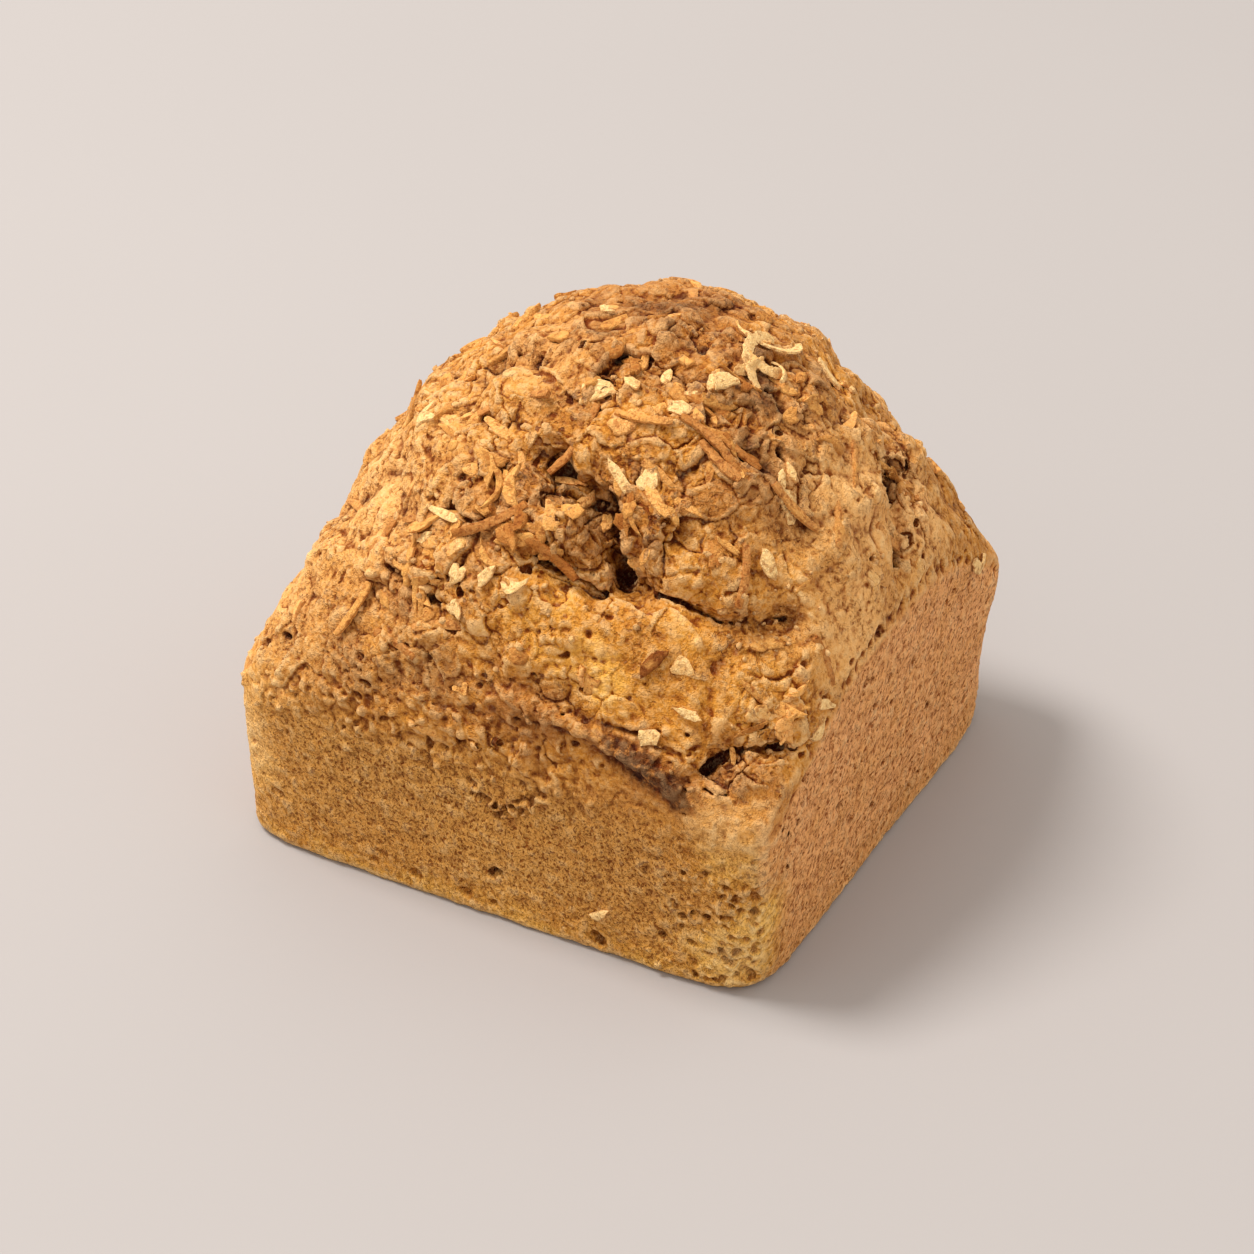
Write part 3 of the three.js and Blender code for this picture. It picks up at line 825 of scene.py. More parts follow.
def fuse_all_nodules(grid, form, loaf, random):
    """Nodules on the crags, the shoulder under the rim and the broken front corner."""
    places, normals = dome_places(form, random, loaf.nodules)
    away = CRAG_LUMPS["away_from_crevices"]
    kept = chosen(random, form.cragginess(places) * (away + (1 - away) * near_crevices(places)))
    fuse_nodules(grid, places, normals, CRAG_LUMPS, random, kept)

    tear = CLEFTS[0][0]
    places, _ = points_along(tear, TEAR_LUMPS["step"])
    places += random.normal(0, TEAR_LUMPS["stray"], places.shape) + TEAR_LUMPS["aside"]
    places, normals = form.crust_surface(unit(places - CORE))
    fuse_nodules(grid, places, normals, TEAR_LUMPS, random)

    places = np.array(LEDGE) + random.normal(0, LEDGE_LUMPS["stray"], (loaf.ledge_nodules, 3))
    places, normals = form.crust_surface(unit(places - CORE))
    fuse_nodules(grid, places, normals, LEDGE_LUMPS, random)

    places, normals = wall_places(form, random, loaf.shoulder_nodules, *SHOULDER_LUMPS["heights"])
    kept = chosen(random, form.roughness(places) * (1 - form.cragginess(places)))
    fuse_nodules(grid, places, normals, SHOULDER_LUMPS, random, kept)

    places, normals = corner_places(form, random, loaf.corner_nodules)
    fuse_nodules(grid, places, normals, CORNER_LUMPS, random)
    places, normals = arc_places(form, random, ARC_LUMPS["step"])
    fuse_nodules(grid, places, normals, ARC_LUMPS, random)


def cut_all_pits(grid, form, loaf, random):
    """Pits over the dome and the walls, and the larger pores low in the walls."""
    cut_pits(grid, *dome_places(form, random, loaf.crust_pits), CRUST_PITS, random)
    cut_pits(grid, *wall_places(form, random, loaf.wall_pits, *WALL_PITS["heights"]), WALL_PITS, random)
    places, normals = wall_places(form, random, loaf.shoulder_pits, *SHOULDER_PITS["heights"])
    kept = chosen(random, form.roughness(places) * (1 - form.cragginess(places)))
    cut_pits(grid, places, normals, SHOULDER_PITS, random, kept)
    cut_pits(grid, *corner_places(form, random, loaf.corner_pits), CORNER_PITS, random)
    cut_pits(grid, *arc_places(form, random, ARC_PITS["step"]), ARC_PITS, random)
    cut_pits(grid, *wall_surface(form, np.array(LOW_PORES, float)), LOW_PITS, random)


def cut_pits(grid, places, normals, kind, random, kept=slice(None)):
    """Cut pits of a kind, of two hollows each, at the places kept."""
    radii = radii_of(kind, random, len(places))[kept]
    spins = random.normal(0, PIT_SPIN, len(radii))
    for place, normal, radius, spin in zip(places[kept], normals[kept], radii, spins):
        turn = surface_axes(normal, spin)
        size = radius * np.array(kind["shape"]) * random.uniform(*PIT_SPREAD, 3)
        grid.cut_ball(place - normal * radius * PIT_SINK, size, turn)
        aside = turn @ (random.uniform(-1, 1, 3) * radius * SECOND_PIT["aside"])
        second = place + aside - normal * radius * SECOND_PIT["sink"]
        grid.cut_ball(second, size * random.uniform(*SECOND_PIT["share"]), turn)


def surface_axes(normal, heading):
    """Axes of a place on the crust in columns: ahead, to the side and outward."""
    level = unit(np.cross(UP, normal))
    uphill = np.cross(normal, level)
    ahead = level * cos(heading) + uphill * sin(heading)
    return np.stack([ahead, np.cross(normal, ahead), normal], axis=1)


# Zones of colour on the crust, each a place, a reach and a strength
# Yellow strengths over 0.9, at the front corner and the left edge, also paint a pale highlight in the crust
# material
YELLOW_ZONES = (
    ((19, -48, 54), 8, 0.9), ((30, -45, 56), 13, 0.25), ((8, -47, 58), 9, 0.6), ((44, -39, 52), 9, 0.35),
    ((47, -49, 7), 9, 1.5), ((52, -49, 16), 8, 1.3), ((44, -51, 27), 9, 1.0), ((-52, -49, 20), 14, 1.4),
    ((0, -52, 0), 10, 0.35), ((-18, -50, 2), 12, 0.45), ((22, -50, 2), 12, 0.4), ((20, 46, 55), 13, 0.7),
    ((-47, 12, 56), 12, 0.6), ((-45, 46, 20), 9, 0.6),
)
TAN_ZONES = (
    ((-30, -28, 66), 20, 0.7), ((-44, -38, 50), 12, 0.7), ((52, -14, 56), 13, 1.0), ((46, -4, 70), 15, 0.9),
    ((51, 14, 60), 12, 1.0), ((-8, -14, 91), 10, 0.4), ((45, -50, 34), 5, 0.7), ((0, 48, 55), 16, 0.7),
    ((-50, 20, 50), 14, 0.7), ((30, 38, 66), 12, 0.6), ((-50, -50, 22), 12, 0.8),
)
BROWN_ZONES = (
    ((6, 2, 95), 20, 0.8), ((28, -6, 90), 13, 0.8), ((34, -18, 80), 10, 0.8), ((-2, -39, 73), 9, 0.7),
    ((16, -36, 76), 8, 0.8), ((26, -50, 26), 17, 0.4), ((-20, -51, 20), 18, 0.25),
    ((-30, -50, 41), 10, 0.25), ((-8, -50, 46), 9, 0.5), ((10, -50, 46), 9, 0.85), ((46, -46, 42), 7, 0.6),
    ((-20, 30, 82), 14, 0.6), ((10, 51, 25), 18, 0.4), ((-30, 50, 42), 12, 0.4), ((48, 14, 66), 7, 0.6),
    ((-18, -44, 56), 7, 0.5), ((5, -51, 25), 5, 0.5),
)
BURNT_ZONES = (((-10, 51, 46), 7, 0.7), ((-52, -6, 46), 6, 0.6))
GREY_ZONES = (
    ((-28, -50, 44), 7, 0.6), ((-12, -49, 48), 7, 0.7), ((-40, -49, 38), 7, 0.6), ((44, -50, 34), 5, 0.8),
    ((30, 50, 42), 10, 0.6),
)

# Where the shards and crumbs lie thickest
SHARD_ZONES = (
    ((0, -36, 77), 13, 1.0), ((28, -12, 88), 14, 1.0), ((10, -12, 92), 14, 0.7), ((20, -34, 76), 11, 0.9),
    ((-12, -42, 64), 9, 0.7), ((-26, 20, 80), 14, 0.9), ((8, 34, 76), 13, 0.9), ((-26, -18, 80), 9, 0.6),
    ((44, 14, 70), 8, 0.8), ((-38, 4, 68), 10, 0.6), ((49, -36, 49), 6, 1.0), ((45, -45, 43), 5, 0.8),
    ((20, -48, 52), 5, 0.5),
)

# The walls' paint: its fade under the rim, where all is wall, its depth, and the side's edge
RIM_FADE = 4.0
RIGHT_RIM_FADE = 0.8
RIM_FADE_START = 0.1
LOW_WALL = (26, 42)
BEHIND_WALL = (1.5, 4.5)
SIDE_EDGE = 0.012

# The paler crumb of the corners and the bottom edge, which also stands in as a painted glow for the light
# that brightens them, and the scorch of the front lip
CORNER_PAINTED_GLOW = {"strength": 0.75, "near": (0.78, 0.97), "fade": (20, 40)}
BOTTOM_PAINTED_GLOW = {"front": 0.85, "side": 0.35, "fade": (1, 11)}
LIP_SCORCH = {"start": (12, 29), "ease": (37, 42), "eased": 0.4, "reach": 3.2}

# Rounds of easing that find the fine and the broad hollows, and how strongly they are stored; the crust
# material paints shade into the hollows and highlights onto the edges
FINE_HOLLOWS = {"rounds": 5, "strength": 1.4}
BROAD_HOLLOWS = {"rounds": 80, "strength": 0.25}


def zone_strength(points, zones):
    strength = np.zeros(len(points))
    for place, reach, amount in zones:
        strength = np.maximum(strength, amount * hump(distance_to(points, place), reach))
    return strength


def write_colours(mesh, name, values):
    """Store up to four numbers for each vertex, for the materials to read."""
    channels = np.zeros((len(mesh.vertices), 4))
    for channel, column in enumerate(values):
        channels[:, channel] = column
    attribute = mesh.attributes.new(name, "FLOAT_COLOR", "POINT")
    attribute.data.foreach_set("color", channels.ravel())


def vertex_arrays(mesh):
    """Places in mm, outward directions and edges of a mesh."""
    points = np.empty(len(mesh.vertices) * 3)
    mesh.vertices.foreach_get("co", points)
    normals = np.empty(len(mesh.vertices) * 3)
    mesh.vertex_normals.foreach_get("vector", normals)
    edges = np.empty(len(mesh.edges) * 2, np.int32)
    mesh.edges.foreach_get("vertices", edges)
    return points.reshape(-1, 3) / MM, normals.reshape(-1, 3), edges.reshape(-1, 2)


def hollowness(points, normals, edges, kind):
    """How hollow the crust is at each vertex: over a half where it lies below the crust round it."""
    total = len(points)
    shares = np.bincount(edges.ravel(), minlength=total)
    eased = points.copy()
    for _ in range(kind["rounds"]):
        for axis in range(3):
            values = eased[:, axis]
            sums = np.bincount(edges[:, 0], values[edges[:, 1]], total)
            sums += np.bincount(edges[:, 1], values[edges[:, 0]], total)
            eased[:, axis] = sums / shares
    depth = np.sum((eased - points) * normals, axis=1)
    return np.clip(0.5 + kind["strength"] * depth, 0, 1)


def paint_zones(mesh, form):
    """Store how yellow, brown, burnt, grey, dry and broken the crust is, with a painted glow at the corners
    and the bottom edge, its wall, and its hollows, which the crust material uses for painted shade and
    painted highlights.
    """
    points, normals, edges = vertex_arrays(mesh)
    x, y, z = points.T
    walls = form.beyond_walls(points)
    under_rim = np.maximum(0, walls - form.beyond_dome(points))
    fade = RIM_FADE + (RIGHT_RIM_FADE - RIM_FADE) * form.rightness(points)
    low_wall = 1 - smooth_step(*LOW_WALL, z)
    on_wall = np.maximum(smooth_step(RIM_FADE_START * fade, fade, under_rim), low_wall)
    on_wall = on_wall * (1 - smooth_step(*BEHIND_WALL, -walls))
    facing = np.abs(x / form.half[0]) - np.abs(y / form.half[1])
    on_side = smooth_step(-SIDE_EDGE, SIDE_EDGE, facing)
    near_corner = np.minimum(np.abs(x) / form.half[0], np.abs(y) / form.half[1])
    # Painted glow: the corners and the bottom edge are made paler, partly crumb colour and partly light
    # painted in
    painted_corner_glow = CORNER_PAINTED_GLOW["strength"] * smooth_step(*CORNER_PAINTED_GLOW["near"], near_corner)
    painted_corner_glow = painted_corner_glow * (1 - smooth_step(*CORNER_PAINTED_GLOW["fade"], z)) * (1 - on_side)
    painted_bottom_glow = BOTTOM_PAINTED_GLOW["front"] + (BOTTOM_PAINTED_GLOW["side"] - BOTTOM_PAINTED_GLOW["front"]) * on_side
    painted_bottom_glow = painted_bottom_glow * (1 - smooth_step(*BOTTOM_PAINTED_GLOW["fade"], z))
    lip = 1 - LIP_SCORCH["eased"] * smooth_step(*LIP_SCORCH["ease"], x)
    lip = lip * smooth_step(*LIP_SCORCH["start"], x)
    lip = lip * hump(distance_to_path(points, RIM_LIP), LIP_SCORCH["reach"])
    write_colours(mesh, "bake", (
        np.maximum.reduce([zone_strength(points, YELLOW_ZONES), painted_corner_glow, painted_bottom_glow]),
        zone_strength(points, BROWN_ZONES), np.maximum(lip, zone_strength(points, BURNT_ZONES)),
        zone_strength(points, GREY_ZONES),
    ))
    write_colours(mesh, "dryness", (zone_strength(points, TAN_ZONES), form.brokenness(points)))
    hollows = (hollowness(points, normals, edges, kind) for kind in (FINE_HOLLOWS, BROAD_HOLLOWS))
    write_colours(mesh, "place", (on_wall, on_side, *hollows))


def drop_scraps(points, quads):
    """Keep only the largest connected body of the mesh."""
    label = np.arange(len(points))
    while True:
        lowest = label[quads].min(axis=1)
        fresh = label.copy()
        for corner in range(quads.shape[1]):
            np.minimum.at(fresh, quads[:, corner], lowest)
        fresh = fresh[fresh]
        if np.array_equal(fresh, label):
            break
        label = fresh
    names, sizes = np.unique(label, return_counts=True)
    kept = label == names[np.argmax(sizes)]
    number_of = np.cumsum(kept) - 1
    return points[kept], number_of[quads[kept[quads[:, 0]]]]


def mesh_from_arrays(name, points, faces):
    mesh = bpy.data.meshes.new(name)
    mesh.vertices.add(len(points))
    mesh.vertices.foreach_set("co", np.asarray(points, np.float32).ravel())
    sizes = np.array([len(face) for face in faces])
    mesh.loops.add(int(sizes.sum()))
    mesh.loops.foreach_set("vertex_index", np.concatenate(faces).astype(np.int32))
    mesh.polygons.add(len(sizes))
    mesh.polygons.foreach_set("loop_start", np.concatenate([[0], np.cumsum(sizes)[:-1]]).astype(np.int32))
    mesh.polygons.foreach_set("use_smooth", np.ones(len(sizes), bool))
    mesh.update(calc_edges=True)
    mesh.validate()
    return mesh


def new_object(name, data):
    made = bpy.data.objects.new(name, data)
    bpy.context.scene.collection.objects.link(made)
    return made


def add_piece(name, mesh, material):
    """A piece that stands for the cake's solid and keeps to its place."""
    piece = new_object(name, mesh)
    if material:
        mesh.materials.append(material)
    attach(piece, BODY)
    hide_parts(CAKE_NODE)
    return piece


def modified(piece, kind, **settings):
    """Replace a piece's mesh by the result of one modifier."""
    modifier = piece.modifiers.new(kind, kind)
    for name, value in settings.items():
        setattr(modifier, name, value)
    graph = bpy.context.evaluated_depsgraph_get()
    made = bpy.data.meshes.new_from_object(piece.evaluated_get(graph))
    piece.modifiers.remove(modifier)
    old = piece.data
    piece.data = made
    made.name = piece.name
    bpy.data.meshes.remove(old)


def thin_out(piece, most):
    """Collapse the flattest edges until the mesh holds no more triangles than asked."""
    triangles = sum(len(face.vertices) - 2 for face in piece.data.polygons)
    if triangles > most:
        modified(piece, "DECIMATE", ratio=most / triangles)


def break_crust(mesh, form):
    """Break the crust into tilted plates with cracks between them, and roughen it all over."""
    points, normals, _ = vertex_arrays(mesh)
    height = SAND["height"] * noise(points, SAND)
    strength = form.brokenness(points)
    broken = strength > BARELY_BROKEN
    ragged = points[broken]
    for layer in RAGGED:
        ragged = drifted(ragged, layer)
    for layer in (PLATE, CHIPLET):
        height[broken] += strength[broken] * plates(ragged, layer)
    points += normals * (height * smooth_step(0, 1, points[:, 2]))[:, None]
    points[:, 2] = np.where(points[:, 2] < FLAT_BELOW, 0, points[:, 2])
    mesh.vertices.foreach_set("co", (points * MM).ravel())
    mesh.update()


def part_at(mesh, height, keep_above):
    """Cut a closed mesh level at a height, keep one side and close it with a flat face."""
    shape = bmesh.new()
    shape.from_mesh(mesh)
    everything = shape.verts[:] + shape.edges[:] + shape.faces[:]
    cut = bmesh.ops.bisect_plane(
        shape, geom=everything, plane_co=(0, 0, height), plane_no=(0, 0, 1), dist=1e-6,
        clear_inner=keep_above, clear_outer=not keep_above,
    )
    rim = [edge for edge in cut["geom_cut"] if isinstance(edge, bmesh.types.BMEdge)]
    for edge in rim:
        edge.smooth = False
    lid = bmesh.ops.holes_fill(shape, edges=rim, sides=0)["faces"]
    for face in lid:
        face.smooth = False
    bmesh.ops.triangulate(shape, faces=shape.faces[:])
    bmesh.ops.recalc_face_normals(shape, faces=shape.faces[:])
    shape.to_mesh(mesh)
    shape.free()


class CAKE_OT_bake_loaf(bpy.types.Operator):
    """Shape the body with its crags, crevices, plates, nodules and pores"""

    bl_idname = "cake.bake_loaf"
    bl_label = "Bake Loaf"

    SEED = 418
    MARGIN = (3.0, 3.0, 1.5)

    def execute(self, context):
        loaf = context.scene.cake_loaf
        form = CakeForm(loaf)
        random = np.random.default_rng(self.SEED)
        low = np.array(CAD_LOW) / MM - self.MARGIN
        high = np.array(CAD_HIGH) / MM + self.MARGIN
        grid = DistanceGrid(low, high, loaf.voxel / MM * (1))
        grid.fill(form)
        fuse_all_nodules(grid, form, loaf, random)
        work_rim(grid, form, random)
        work_crevices(grid, form, random)
        cut_all_pits(grid, form, loaf, random)
        points, quads = drop_scraps(*grid.quads())
        mesh = mesh_from_arrays("loaf_base", points * MM, quads)
        base = add_piece("loaf_base", mesh, crust_material(context.scene.cake_finish))
        modified(base, "SUBSURF", levels=1)
        break_crust(base.data, form)
        thin_out(base, loaf.triangles)
        paint_zones(base.data, form)
        crown = add_piece("loaf_crown", base.data.copy(), None)
        part_at(base.data, loaf.parting, keep_above=False)
        part_at(crown.data, loaf.parting, keep_above=True)
        return {"FINISHED"}


class SeededDraws:
    """Seeded draws from 0 to 1, the same on every run."""

    MASK = 0xFFFFFFFF

    def __init__(self, seed):
        self.state = seed

    def __call__(self):
        self.state = (self.state + 0x6D2B79F5) & self.MASK
        mixed = ((self.state ^ (self.state >> 15)) * (self.state | 1)) & self.MASK
        mixed ^= (mixed + (mixed ^ (mixed >> 7)) * (mixed | 61)) & self.MASK
        return (mixed ^ (mixed >> 14)) / 4294967296


# Kinds of coconut flake, in mm. Curl is the turn from end to end in degrees, and ends are the least and
# greatest share of the width that is left at an end
THREAD = {
    "piece": "coconut_threads", "length": (8, 15), "width": (1.7, 2.3), "thickness": 0.9, "curl": 35,
    "shade": (0.1, 0.5), "strewn_lift": -0.35, "slimming": 0.75, "roll": 0, "ends": (0.55, 0.95),
    "stations": 12,
}
CHIP = {
    "piece": "coconut_chips", "length": (3.6, 5.6), "width": (2.2, 3.4), "thickness": 0.7, "curl": 15,
    "shade": (0.3, 0.75), "strewn_lift": -0.15,
}
CURL = {
    "piece": "coconut_curls", "length": (13, 16), "width": (1.6, 2.0), "thickness": 0.55, "curl": 190,
    "shade": (0.1, 0.45), "slimming": 1.1, "roll": 40, "ends": (0.2, 0.7), "stations": 24,
}
CURL_SPREAD = 0.4
CHOSEN_LIFT = 0.6
FLAKE_SEED = 20418
FLAKE_TRIES = 4000

# The flakes of the solid that stand out, by kind, place, heading in degrees from level, and how toasted
CHOSEN_FLAKES = (
    (THREAD, (27, -20, 86), -58, 0.5), (THREAD, (29, -22, 84), -61, 0.4), (THREAD, (31, -18, 84), -60, 0.6),
    (CURL, (24, -2, 93), 20, 0.2), (CURL, (27, 3, 91), 110, 0.3), (CURL, (53, 33, 40), 160, 0.0),
    (CHIP, (31, -49, 47), 15, 0.0), (CHIP, (24, -11, 91), 0, 0.05), (CHIP, (-7, -44, 64), 80, 0.15),
    (CHIP, (-1, -44, 66), 60, 0.15), (CHIP, (4, -44, 65), 10, 0.1), (THREAD, (16, -23, 89), -14, 0.1),
    (THREAD, (41, -17, 76), -60, 0.2), (THREAD, (-27, -46, 52), 80, 0.0), (THREAD, (-3, -40, 73), 40, 0.5),
    (THREAD, (8, -41, 71), -27, 0.7),
)

# Chosen flakes that show only a share of their length, by their order
SHORTENED = {5: 0.5}

# More curls in the cluster on the crown, by place, heading, length, width and curl in degrees
SMALL_CURLS = (
    ((28, -3, 91), -60, 9, 1.8, 120), ((22, 2, 93), 60, 8, 1.7, -100), ((30, 0, 90), 30, 7, 1.6, 80),
    ((26, -5, 91.5), -10, 6, 2.0, 60),
)

# Smaller flakes beside them, by place, heading, length, width and how toasted
SMALL_FLAKES = (
    ((-1.7, -2.2, 94.4), 24, 2.8, 2.3, 0.0), ((20.1, -18.4, 89.7), -50, 4.8, 2.8, 0.1),
    ((22.9, -12.1, 91.2), 25, 2.6, 1.9, 0.05), ((20.3, -15.4, 91), -17, 4.0, 1.6, 0.2),
    ((20.3, -29.5, 82.1), 47, 3.6, 2.6, 0.05), ((15.7, -30.8, 82.5), -53, 6.4, 1.8, 0.2),
    ((5.8, -20.3, 91.1), 38, 6.0, 2.8, 0.3), ((11.4, -18.3, 91.9), -34, 4.0, 1.9, 0.35),
    ((15.6, -13.9, 92.8), 63, 3.0, 1.6, 0.35), ((32.7, 12.6, 84), -130, 7.0, 2.1, 0.2),
    ((37.5, -15.9, 79.7), -112, 3.8, 1.7, 0.15), ((38.1, -13.8, 80.1), -96, 3.6, 1.5, 0.3),
    ((39.4, -16.8, 77.1), -55, 4.8, 2.4, 0.05), ((40.9, -17.5, 75), -131, 3.2, 1.9, 0.15),
    ((40.3, -25.5, 69.8), -88, 4.4, 1.9, 0.25), ((-13.1, -38, 70.5), 6, 7.5, 1.2, 0.1),
    ((-15.9, -40, 66.7), 49, 3.6, 1.5, 0.05), ((-8.1, -41.6, 67.8), 56, 5.3, 2.0, 0.5),
    ((-6, -46.2, 59.2), -13, 3.2, 2.2, 0.15), ((36.3, -45.3, 50.9), -21, 4.8, 1.7, 0.25),
    ((52.4, -28.5, 48), -23, 3.4, 1.5, 0.05), ((53, -31.7, 44.2), 16, 3.8, 1.6, 0.1),
    ((28.8, -43.9, 58), 44, 5.2, 1.8, 1.0), ((-25.2, -20.8, 77.6), 125, 4.2, 3.2, 0.1),
    ((-23, -23.5, 77), 60, 3.6, 2.2, 0.15), ((22.6, -50.8, 8.7), 40, 4.6, 1.4, 0.3),
    ((-18, 28, 82), 30, 5.0, 2.4, 0.1), ((14, 34, 78), -40, 4.6, 2.0, 0.15),
    ((-36, 20, 68), 70, 4.4, 2.2, 0.1), ((-8, 41, 66), 15, 5.0, 1.8, 0.2),
)


def flake_plan(form, flakes):
    """Kind, direction, heading, length, width and curl of each flake of the solid."""
    draw = SeededDraws(FLAKE_SEED)
    plan = []
    places = []

    def drawn(kind, direction, heading):
        low, high = kind["length"]
        size = low + (high - low) * draw()
        low, high = kind["width"]
        width = low + (high - low) * draw()
        curl = kind["curl"] * (1 - CURL_SPREAD * draw())
        plan.append((kind, direction, heading, size, width, -curl if draw() < 0.5 else curl))

    for kind, place, heading, _ in CHOSEN_FLAKES:
        places.append(np.array(place, float))
        drawn(kind, unit(places[-1] - CORE), heading)
    threads_end = len(plan) + flakes.strewn_threads
    wanted = threads_end + flakes.strewn_chips
    for _ in range(FLAKE_TRIES):
        if len(plan) == wanted:
            break
        u = 2 * draw() - 1
        v = 2 * draw() - 1
        heading = 360 * draw()
        direction = dome_directions(np.array([u]), np.array([v]))
        point = form.crust_surface(direction)[0][0]
        near = min(np.linalg.norm(place - point) for place in places) <= flakes.spacing / MM
        if point[2] < flakes.lowest / MM or near:
            continue
        places.append(point)
        drawn(THREAD if len(plan) < threads_end else CHIP, direction[0], heading)
    return plan


class Heap:
    """Many small shapes gathered into one mesh, each with a shade of its own."""

    def __init__(self):
        self.points = []
        self.faces = []
        self.shades = []
        self.total = 0

    def add(self, points, faces, shades):
        self.points.append(points)
        self.faces.extend(np.asarray(face) + self.total for face in faces)
        self.shades.append(shades)
        self.total += len(points)

    def mesh(self, name):
        mesh = mesh_from_arrays(name, np.concatenate(self.points) * MM, self.faces)
        write_colours(mesh, "flake", np.concatenate(self.shades).T)
        return mesh


class CrustTouch:
    """The baked crust, for laying things on it. Places and distances in mm."""

    START = 8.0

    def __init__(self):
        graph = bpy.context.evaluated_depsgraph_get()
        parts = (bpy.data.objects[name] for name in ("loaf_crown", "loaf_base"))
        self.trees = [BVHTree.FromObject(part, graph) for part in parts]

    def height(self, place, normal, reach=16.0):
        """How far the crust stands from a place along a direction, or None where it isn't there."""
        start = Vector((place + normal * self.START) * MM)
        hits = (tree.ray_cast(start, Vector(-normal), reach * MM) for tree in self.trees)
        falls = [hit[3] for hit in hits if hit[0] is not None]
        return self.START - min(falls) / MM if falls else None


# The section of a strip of coconut, and how uneven a strip is
STRIP_SIDES = 8
STRIP_BOXINESS = 0.45
STRIP_WIDTH_SPREAD = (0.78, 1.15)
STRIP_THICKNESS_SPREAD = (0.75, 1.15)
STRIP_STRAY = 0.03
LEAST_CURL = 1
POINTED = 0.4
POINTED_TAPER = 1.7
BLUNT_TAPER = 5.0


def boxy(values):
    """Sines or cosines drawn towards 1, for a section nearer a rectangle."""
    return np.sign(values) * np.abs(values) ** STRIP_BOXINESS


def strip_rings(size, width, thickness, curl, twist, ends, stations, random):
    """Middle line, side and upward offsets of a flat strip with narrowed ends."""
    share = np.linspace(-0.5, 0.5, stations)
    turn = radians(curl if abs(curl) > LEAST_CURL else LEAST_CURL)
    radius = size / turn
    angle = share * turn
    middle = np.stack([radius * np.sin(angle), radius - radius * np.cos(angle)], axis=1)
    end = np.where(share < 0, ends[0], ends[1])
    taper = np.where(end < POINTED, POINTED_TAPER, BLUNT_TAPER)
    half = width / 2 * (1 - (1 - end) * np.abs(2 * share) ** taper)
    half = half * random.uniform(*STRIP_WIDTH_SPREAD, stations)
    around = np.linspace(0, 2 * pi, STRIP_SIDES, endpoint=False) + pi / STRIP_SIDES
    across = half[:, None] * boxy(np.cos(around)) + random.normal(0, STRIP_STRAY * width, (stations, 1))
    upward = thickness / 2 * boxy(np.sin(around)) * random.uniform(*STRIP_THICKNESS_SPREAD, (stations, 1))
    spin = np.radians(twist[0] + twist[1] * share[:, None])
    turned_across = across * np.cos(spin) - upward * np.sin(spin)
    turned_up = across * np.sin(spin) + upward * np.cos(spin)
    return share, angle, middle, turned_across, turned_up


def strip_faces(stations, sides):
    faces = []
    for ring in range(stations - 1):
        for side in range(sides):
            a = ring * sides + side
            b = ring * sides + (side + 1) % sides
            faces.append((a, b, b + sides, a + sides))
    faces.append(tuple(reversed(range(sides))))
    faces.append(tuple((stations - 1) * sides + side for side in range(sides)))
    return faces


# How far strips and chips bend or tilt to the crust in mm, and the fewest places where they touch it
STRIP_REACH = 2.0
STRIP_BEND = 1.2
STRIP_TOUCHES = 3
CHIP_REACH = 0.8
CHIP_TOUCHES = 4
CHIP_INNER_TOUCH = 0.4


def lay_strip(heap, crust, place, normal, heading, rings, lift, shade, stiff):
    """Lay a strip on the crust, lifted along its length. A stiff one spans hollows, a limp one follows."""
    share, angle, middle, across, upward = rings
    axes = surface_axes(normal, heading)
    line = place + middle @ axes[:, :2].T
    heights = [crust.height(point, normal) for point in line]
    known = [(s, h) for s, h in zip(share, heights) if h is not None]
    if len(known) < STRIP_TOUCHES:
        return
    spots, levels = np.array(known).T
    levels = np.clip(levels, np.median(levels) - STRIP_REACH, np.median(levels) + STRIP_REACH)
    fitted = np.polyval(np.polyfit(spots, levels, 1 if stiff else 2), share)
    fitted = np.clip(fitted, np.median(levels) - STRIP_BEND, np.median(levels) + STRIP_BEND)
    side = np.stack([-np.sin(angle), np.cos(angle)], axis=1) @ axes[:, :2].T
    centres = line + np.outer(fitted + lift, normal)
    points = centres[:, None, :] + across[..., None] * side[:, None, :] + upward[..., None] * normal
    stations, sides = across.shape
    ends = np.repeat(np.abs(2 * share), sides)
    shades = np.stack([np.full(stations * sides, shade), ends], axis=1)
    heap.add(points.reshape(-1, 3), strip_faces(stations, sides), shades)


# Outlines of flat flakes: ragged corners and their sides, or lobes by number and swing
CORNERS = 6
CORNER_SHIFT = 0.32
CORNER_REACH = (0.7, 1.2)
SIDE_BULGE = (0.88, 1.05)
LOBED_POINTS = 14
LOBES = ((2, 0.16), (3, 0.24), (5, 0.14))
LOBE_SPREAD = (0.2, 1.0)
LOBED_BEND = 0.7

# Rings of a flat flake from its lower to its upper face: share of the outline, level and edge
CHIP_RINGS = (
    (0.5, -0.5, 0.3), (0.93, -0.5, 0.9), (1.0, -0.2, 1.0), (0.98, 0.35, 1.0), (0.88, 0.5, 0.8),
    (0.45, 0.55, 0.2),
)
CHIP_EDGE_RING = 2
CHIP_WARP = 0.3


def oval(turn, reach, size, width):
    return np.stack([np.cos(turn) * reach * size / 2, np.sin(turn) * reach * width / 2], axis=1)


def cornered_outline(size, width, random, corners=CORNERS):
    """Outline of a broken flake, with straight sides and ragged corners."""
    steps = np.arange(corners) + random.uniform(-CORNER_SHIFT, CORNER_SHIFT, corners)
    turn = steps * 2 * pi / corners
    outline = oval(turn, random.uniform(*CORNER_REACH, corners), size, width)
    between = (outline + np.roll(outline, -1, axis=0)) / 2 * random.uniform(*SIDE_BULGE, (corners, 1))
    return np.stack([outline, between], axis=1).reshape(-1, 2)


